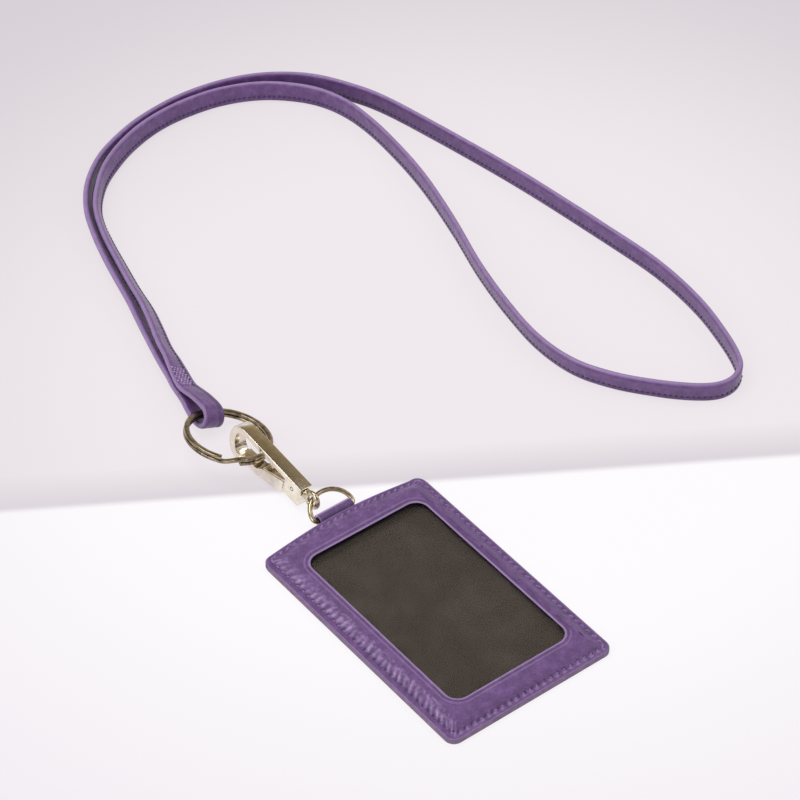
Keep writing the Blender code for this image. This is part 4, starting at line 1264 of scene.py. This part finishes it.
@dataclass
class Hardware:
    """The D ring, the swivelling trigger hook and the split ring."""

    d_middle: Place3 = (-0.0010, 0.0559, 0.0030)
    d_wire: float = 0.0009
    d_half_width: float = 0.0086
    d_corner: float = 0.0016
    d_bow: float = 0.0075
    d_tilt: float = math.radians(27.0)
    ring_place: Place3 = (-0.0100, 0.1079, 0.0065)
    ring_lean: float = math.radians(16.5)
    ring_radius: float = 0.01544
    ring_wire: tuple[float, float] = (0.0020, 0.00125)
    ring_wire_edge: float = 0.0004
    ring_layer: float = 0.00155
    ring_end: float = math.radians(224)
    ring_step: float = math.radians(26)
    ring_steps: int = 220
    plate: MetalFinish = MetalFinish()
    # The eye, the D ring's wire and the split ring take darker copies of the plate: painted dark reflections.
    eye_plate_painted_reflection: MetalFinish = MetalFinish(name="polished pale gold plate, eye", light="D8CDB6", dark="A2947A")
    wire_plate_painted_reflection: MetalFinish = MetalFinish(name="polished pale gold plate, wire", light="C9BCA0", dark="8E826A")
    ring_plate_painted_reflection: MetalFinish = MetalFinish("polished plate, split ring, painted dark reflection", "B3A68D", "655A4A", 0.07)

    def build(self) -> None:
        """Builds and dresses every metal piece."""
        self.d_ring()
        self.split_ring()
        polished_copy("swivel_eye", Body.EYE, self.eye_plate_painted_reflection, 40)
        polished_copy("hook_body", Body.HOOK, self.plate)
        polished_copy("gate_pin", Body.HOOK, self.plate)
        polished_copy("gate_lever", Body.GATE, self.plate)
        dress("gate_spring", SpringFinish())

    def d_ring(self) -> bpy.types.Object:
        """Bent wire: a straight bar, tight corners and a half oval bow.

        Returns:
            The piece.
        """
        inner_x = self.d_half_width - self.d_corner
        corners = [math.pi / 2 * i / 6 for i in range(7)]
        turns = [math.pi * i / 48 for i in range(1, 48)]
        bend = self.d_corner
        path = [(inner_x + bend * math.cos(a - math.pi / 2), bend * (1 + math.sin(a - math.pi / 2))) for a in corners]
        path += [(self.d_half_width * math.cos(a), bend + self.d_bow * math.sin(a)) for a in turns]
        path += [(-inner_x + bend * math.cos(a + math.pi), bend * (1 + math.sin(a + math.pi))) for a in corners]
        place = Matrix.Translation(self.d_middle) @ Matrix.Rotation(self.d_tilt, 4, "X")
        points = [place @ Vector((x, y, 0)) for x, y in path]
        stations = stations_in_plane(points, (place.to_3x3() @ UP).normalized(), True)
        piece = sweep("d_ring_wire", stations, circle(self.d_wire, 16), self.wire_plate_painted_reflection, closed=True)
        smooth(piece)
        return ride(piece, Body.D_RING, Slot.METAL, ["d_ring"])

    def split_ring(self) -> bpy.types.Object:
        """Flat wire of nearly two turns, with one step up.

        Returns:
            The piece.
        """
        place = Matrix.Translation(self.ring_place) @ Matrix.Rotation(self.ring_lean, 4, "Y")
        whole = 4 * math.pi - self.ring_step
        points = []
        for i in range(self.ring_steps + 1):
            turned = whole * i / self.ring_steps
            climb = smoothstep(0, self.ring_step, turned - 2 * math.pi + self.ring_step)
            angle = self.ring_end + self.ring_step + turned
            across, along = self.ring_radius * math.cos(angle), self.ring_radius * math.sin(angle)
            points.append(place @ Vector((across, along, self.ring_layer * (climb - 0.5))))
        stations = stations_in_plane(points, (place.to_3x3() @ UP).normalized())
        piece = sweep("split_ring_wire", stations, rounded_box(*self.ring_wire, self.ring_wire_edge), self.ring_plate_painted_reflection)
        smooth(piece, 50)
        return ride(piece, Body.RING, Slot.METAL, ["split_ring"])


@dataclass
class NeckStrap:
    """The strap: one long strip, folded along its upper edge, sewn along its lower edge, and folded round the ring."""

    route: tuple[tuple[float, float, float, float], ...]
    width: float = 0.0086
    thickness: float = 0.0020
    edge_thickness: float = 0.0023
    stitch_height: float = -0.0023
    stitch_pitch: float = 0.0021
    stitch_length: float = 0.0019
    stitch_radius: float = 0.0005
    stitch_slant: float = math.radians(60)
    stitch_sunk: float = 0.00012
    patch_start: float = 0.0012
    patch_end: float = 0.0115
    patch_row: float = 0.0014
    patch_column: float = 0.0013
    patch_columns: int = 5
    patch_low: float = -0.0024
    patch_shift: float = 0.0006
    patch_slant: float = math.radians(40)
    patch_proud: float = 0.00004
    patch_stitch: tuple[float, float] = (0.0010, 0.00032)
    span_steps: int = 6
    fold_steps: int = 5
    fold_ends: float = 0.0003
    ring_place: Place3 = (-0.0100, 0.1079, 0.0065)
    ring_lean: float = math.radians(16.5)
    ring_radius: float = 0.01544
    fold_around: float = math.radians(86)
    fold_roll: float = math.radians(7)
    length: float = field(init=False, default=0.0)
    leather: LeatherFinish = LeatherFinish(
        name="smooth purple leather, strap",
        pore_relief=0.15,
        crease_relief=0.2,
        pebble_relief=0.3,
        pebble_shade=0.4,
        roughness=0.40,
    )
    # The strap's stitches are drawn near-black: painted shade for the stitch holes.
    hole_shade_thread: ThreadFinish = ThreadFinish(name="stitch hole shade thread", colour="341C42", light="4A3060")
    pale_thread: ThreadFinish = ThreadFinish(name="pale purple thread", colour="9478AC", light="C2ACD4")
    fold_path: tuple[tuple[float, float], ...] = (
        (0.0132, 0.0021), (0.01, 0.0027), (0.0065, 0.0033), (0.003, 0.0036), (0.0004, 0.0037), (-0.002, 0.0035),
        (-0.0036, 0.0028), (-0.0047, 0.0016), (-0.0052, 0.0001), (-0.005, -0.0013), (-0.0041, -0.0026),
        (-0.0024, -0.0035), (0.0002, -0.0038), (0.0032, -0.0034), (0.007, -0.0023), (0.01, -0.0013),
        (0.0132, -0.0006),
    )

    def build(self) -> None:
        """Builds the strap, its fold and their stitches."""
        stations = self.stations()
        strap = self.strap(stations)
        places = [s.place for s in stations]
        self.length = sum((b - a).length for a, b in zip(places, places[1:]))
        fold = self.fold()
        rows = self.rows(stations)
        patch = self.patch(stations)
        for piece in (fold, rows, patch):
            ride(piece, Body.STRAP, Slot.LEATHER, ["strap_end_fold"] if piece is fold else [])
        ride(strap, Body.STRAP, Slot.LEATHER, ["strap"])
        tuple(places[0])
        [tuple(p) for p in places]
        LOG.info("the strap is %.3f m long", self.length)

    def stations(self) -> list[Station]:
        """Sections along the strap's route, leaning as it does.

        Returns:
            The sections, from one side of the fold to the other.
        """
        points = smooth_through([p[:3] for p in self.route], self.span_steps)
        leans = smooth_through([(p[3], 0, 0) for p in self.route], self.span_steps)
        found = []
        for point, run, lean in zip(points, headings(points), leans):
            side = run.cross(UP).normalized()
            up = side.cross(run)
            cosine, sine = math.cos(math.radians(lean.x)), math.sin(math.radians(lean.x))
            found.append(Station(point, side * cosine - up * sine, up * cosine + side * sine))
        return found

    def profile(self) -> tuple[Outline, list[float], list[float]]:
        """Section of the strap: round folded edge above, two raw edges sewn together below.

        Returns:
            The outline, and each point's painted highlight with pale edges, and its painted shade.
        """
        half, thin, thick, sewn = self.width / 2, self.thickness / 2, self.edge_thickness / 2, self.stitch_height
        side = [
            (thin - 0.0004, -half),
            (thin - 0.0001, -half + 0.0002),
            (thin, -half + 0.0006),
            (thin - 0.00005, sewn - 0.0004),
            (thin - 0.00018, sewn),
            (thin - 0.00002, sewn + 0.0005),
            (thin + 0.00004, -0.0012),
            (thin + 0.00006, 0.0006),
            (thin + 0.00008, 0.0021),
            (thick, half - 0.0014),
            (thick - 0.00012, half - 0.0008),
            (thick - 0.00042, half - 0.0003),
            (thick - 0.00085, half - 0.00003),
        ]
        slit = [(-0.0001, -half), (0.0, -half + 0.0003), (0.0001, -half)]
        outline = side + [(-x, y) for x, y in reversed(side)] + slit
        # Painted highlight along the round top edge, and paler raw edges below.
        wear_and_highlight = [
            0.42 * smoothstep(half - 0.0006, half - 0.0001, y) + 0.15 * smoothstep(-half + 0.0004, -half, y)
            for x, y in outline
        ]
        # Painted shade along the stitch line and in the slit between the plies.
        seam = [0.36 * bell(y - sewn, 0.0008) + 0.8 * (abs(x) < 0.00005 and y < 0) for x, y in outline]
        return outline, wear_and_highlight, seam

    def strap(self, stations: list[Station]) -> bpy.types.Object:
        """The free strap, very slightly wavy as leather is.

        Args:
            stations: Its sections.

        Returns:
            The piece.
        """
        outline, wear_and_highlight, seam = self.profile()

        def wave(i: int, k: int) -> float:
            """Small unevenness of the leather at a point."""
            return noise.noise(stations[i].place * 70 + Vector((0, 0, outline[k][1] * 300))) * 0.00010

        piece = sweep("neck_strap", stations, outline, self.leather, wear_and_highlight=wear_and_highlight, seam=seam, proud=wave)
        smooth(piece, 60)
        return piece

    def fold_frame(self) -> Matrix:
        """Frame of the fold: x along the ring's wire, y away from its middle, z out of its plane."""
        ring = Matrix.Translation(self.ring_place) @ Matrix.Rotation(self.ring_lean, 4, "Y")
        around = Matrix.Rotation(self.fold_around - math.pi / 2, 4, "Z")
        on_wire = ring @ around @ Matrix.Translation((0, self.ring_radius, 0))
        return on_wire @ Matrix.Rotation(self.fold_roll, 4, "Y")

    def fold(self) -> bpy.types.Object:
        """The strap's end, folded round the split ring.

        Returns:
            The piece.
        """
        place = self.fold_frame()
        path = smooth_through([(0, y, z) for y, z in reversed(self.fold_path)], self.fold_steps)
        path[0] = path[0] + Vector((0, self.fold_ends, 0))
        path[-1] = path[-1] + Vector((0, self.fold_ends, 0))
        stations = stations_in_plane([place @ p for p in path], (place.to_3x3() @ Vector((-1, 0, 0))).normalized())
        outline, wear_and_highlight, seam = self.profile()
        # The whole fold takes a little painted shade, besides the stitch line and the slit.
        shaded = [0.08 + 0.92 * s for s in seam]
        piece = sweep("strap_end_leather", stations, outline, self.leather, wear_and_highlight=wear_and_highlight, seam=shaded)
        smooth(piece, 60)
        return piece

    def rows(self, stations: list[Station]) -> bpy.types.Object:
        """The stitches along the strap's lower edge, on both faces.

        Args:
            stations: The strap's sections.

        Returns:
            The piece.
        """
        slant = Matrix.Rotation(self.stitch_slant, 4, "Z")
        places = []
        for station, along in spaced(stations, self.stitch_pitch / 2, self.stitch_pitch):
            for out in (station.right, -station.right):
                spot = station.place + station.up * self.stitch_height + out * (self.thickness / 2 - self.stitch_sunk)
                places.append(facing(spot, along, out) @ slant)
        # The dark thread is painted shade for the stitch holes.
        return copies("strap_stitches", one_stitch(self.stitch_length, self.stitch_radius), places, self.hole_shade_thread)

    def patch(self, stations: list[Station]) -> bpy.types.Object:
        """The cross stitches that hold the fold closed, just beyond it.

        Args:
            stations: The strap's sections.

        Returns:
            The piece.
        """
        places = []
        for row, (station, along) in enumerate(spaced(stations, self.patch_start, self.patch_row, self.patch_end)):
            for column in range(self.patch_columns):
                across = self.patch_low + column * self.patch_column + (self.patch_shift if row % 2 else 0.0)
                out = station.right * (self.thickness / 2 + self.patch_proud)
                place = facing(station.place + station.up * across + out, along, station.right)
                slant = self.patch_slant if (row + column) % 2 else -self.patch_slant
                places.append(place @ Matrix.Rotation(slant, 4, "Z"))
        return copies("patch_stitches", one_stitch(*self.patch_stitch), places, self.pale_thread)


# The middle line of the strap's free loop, in millimetres, and its lean in degrees.
STRAP_ROUTE: tuple[tuple[float, float, float, float], ...] = tuple(
    (x * MM, y * MM, z * MM, lean)
    for x, y, z, lean in (
        (-7.2, 136.8, 7.8, -64), (-7.1, 137.9, 7.8, -64), (-6.0, 142.0, 7.2, -60), (-4.1, 148.1, 6.9, -55),
        (-1.8, 155.5, 6.6, -47), (0.3, 163.5, 6.3, -41), (4.2, 174.5, 5.9, -38), (8.0, 186.2, 5.4, -36),
        (10.9, 198.5, 5.0, -33), (14.1, 210.5, 4.7, -31), (17.3, 222.5, 4.6, -29), (19.9, 231.1, 4.6, -25),
        (22.9, 239.5, 4.6, -19), (26.7, 246.9, 4.55, -13), (32.1, 254.0, 4.55, -8), (39.0, 260.9, 4.55, -9),
        (47.0, 266.5, 4.6, -12), (58.0, 272.2, 4.55, -10), (70.0, 276.2, 4.55, -8), (82.0, 277.9, 4.55, -6),
        (95.0, 277.5, 4.55, -6), (107.0, 275.2, 4.55, -6), (119.0, 270.0, 4.55, -6), (129.0, 262.2, 4.55, -5),
        (137.0, 252.0, 4.5, -4), (141.4, 240.0, 4.5, -2), (142.6, 227.0, 4.5, 0), (141.5, 208.0, 4.5, 0),
        (137.5, 182.0, 4.5, 0), (129.8, 153.0, 4.5, 3), (121.1, 125.6, 4.55, 6), (115.4, 101.1, 4.55, 8),
        (112.6, 80.0, 4.55, 9), (114.4, 61.8, 4.55, 9), (121.2, 47.2, 4.55, 9), (130.5, 34.6, 4.55, 8),
        (139.7, 24.9, 4.55, 7), (147.3, 19.7, 4.55, 5), (154.0, 18.9, 4.5, 3), (160.0, 21.5, 4.5, 0),
        (164.0, 27.0, 4.5, 0), (168.5, 39.0, 4.5, 0), (173.5, 59.0, 4.5, 0), (175.6, 85.0, 4.5, 0),
        (173.5, 113.0, 4.5, 0), (169.0, 155.0, 4.5, 0), (163.0, 193.0, 4.5, 0), (156.0, 228.5, 4.5, 1),
        (150.0, 245.0, 4.5, 3), (141.0, 260.0, 4.55, 5), (130.0, 270.0, 4.55, 6), (117.0, 277.0, 4.55, 6),
        (102.0, 280.8, 4.55, 6), (87.0, 281.7, 4.55, 6), (71.0, 280.0, 4.55, 5), (58.0, 276.3, 4.5, 4),
        (45.5, 270.8, 4.5, 3), (36.2, 264.2, 4.5, 3), (29.2, 256.7, 4.6, 11), (24.0, 248.9, 4.6, 18),
        (20.4, 241.8, 4.55, 24), (17.4, 233.7, 4.45, 29), (14.7, 225.4, 4.35, 33), (11.3, 213.8, 4.3, 35),
        (8.3, 202.0, 4.3, 37), (5.3, 190.2, 4.3, 38), (1.9, 178.9, 4.3, 39), (-1.3, 167.7, 4.3, 41),
        (-4.1, 156.7, 4.4, 46), (-5.2, 151.9, 4.5, 49), (-6.2, 147.0, 4.6, 53), (-7.4, 142.2, 4.75, 57),
        (-8.2, 138.0, 5.4, 64), (-8.3, 136.8, 5.4, 64),
    )
)


def main() -> None:
    """Builds the studio and every piece in order."""
    logging.basicConfig(level=logging.INFO, format="%(message)s")
    Studio().build()
    NeckStrap(route=STRAP_ROUTE).build()
    CardHolder().build()
    Hardware().build()


if __name__ == "__main__":
    main()
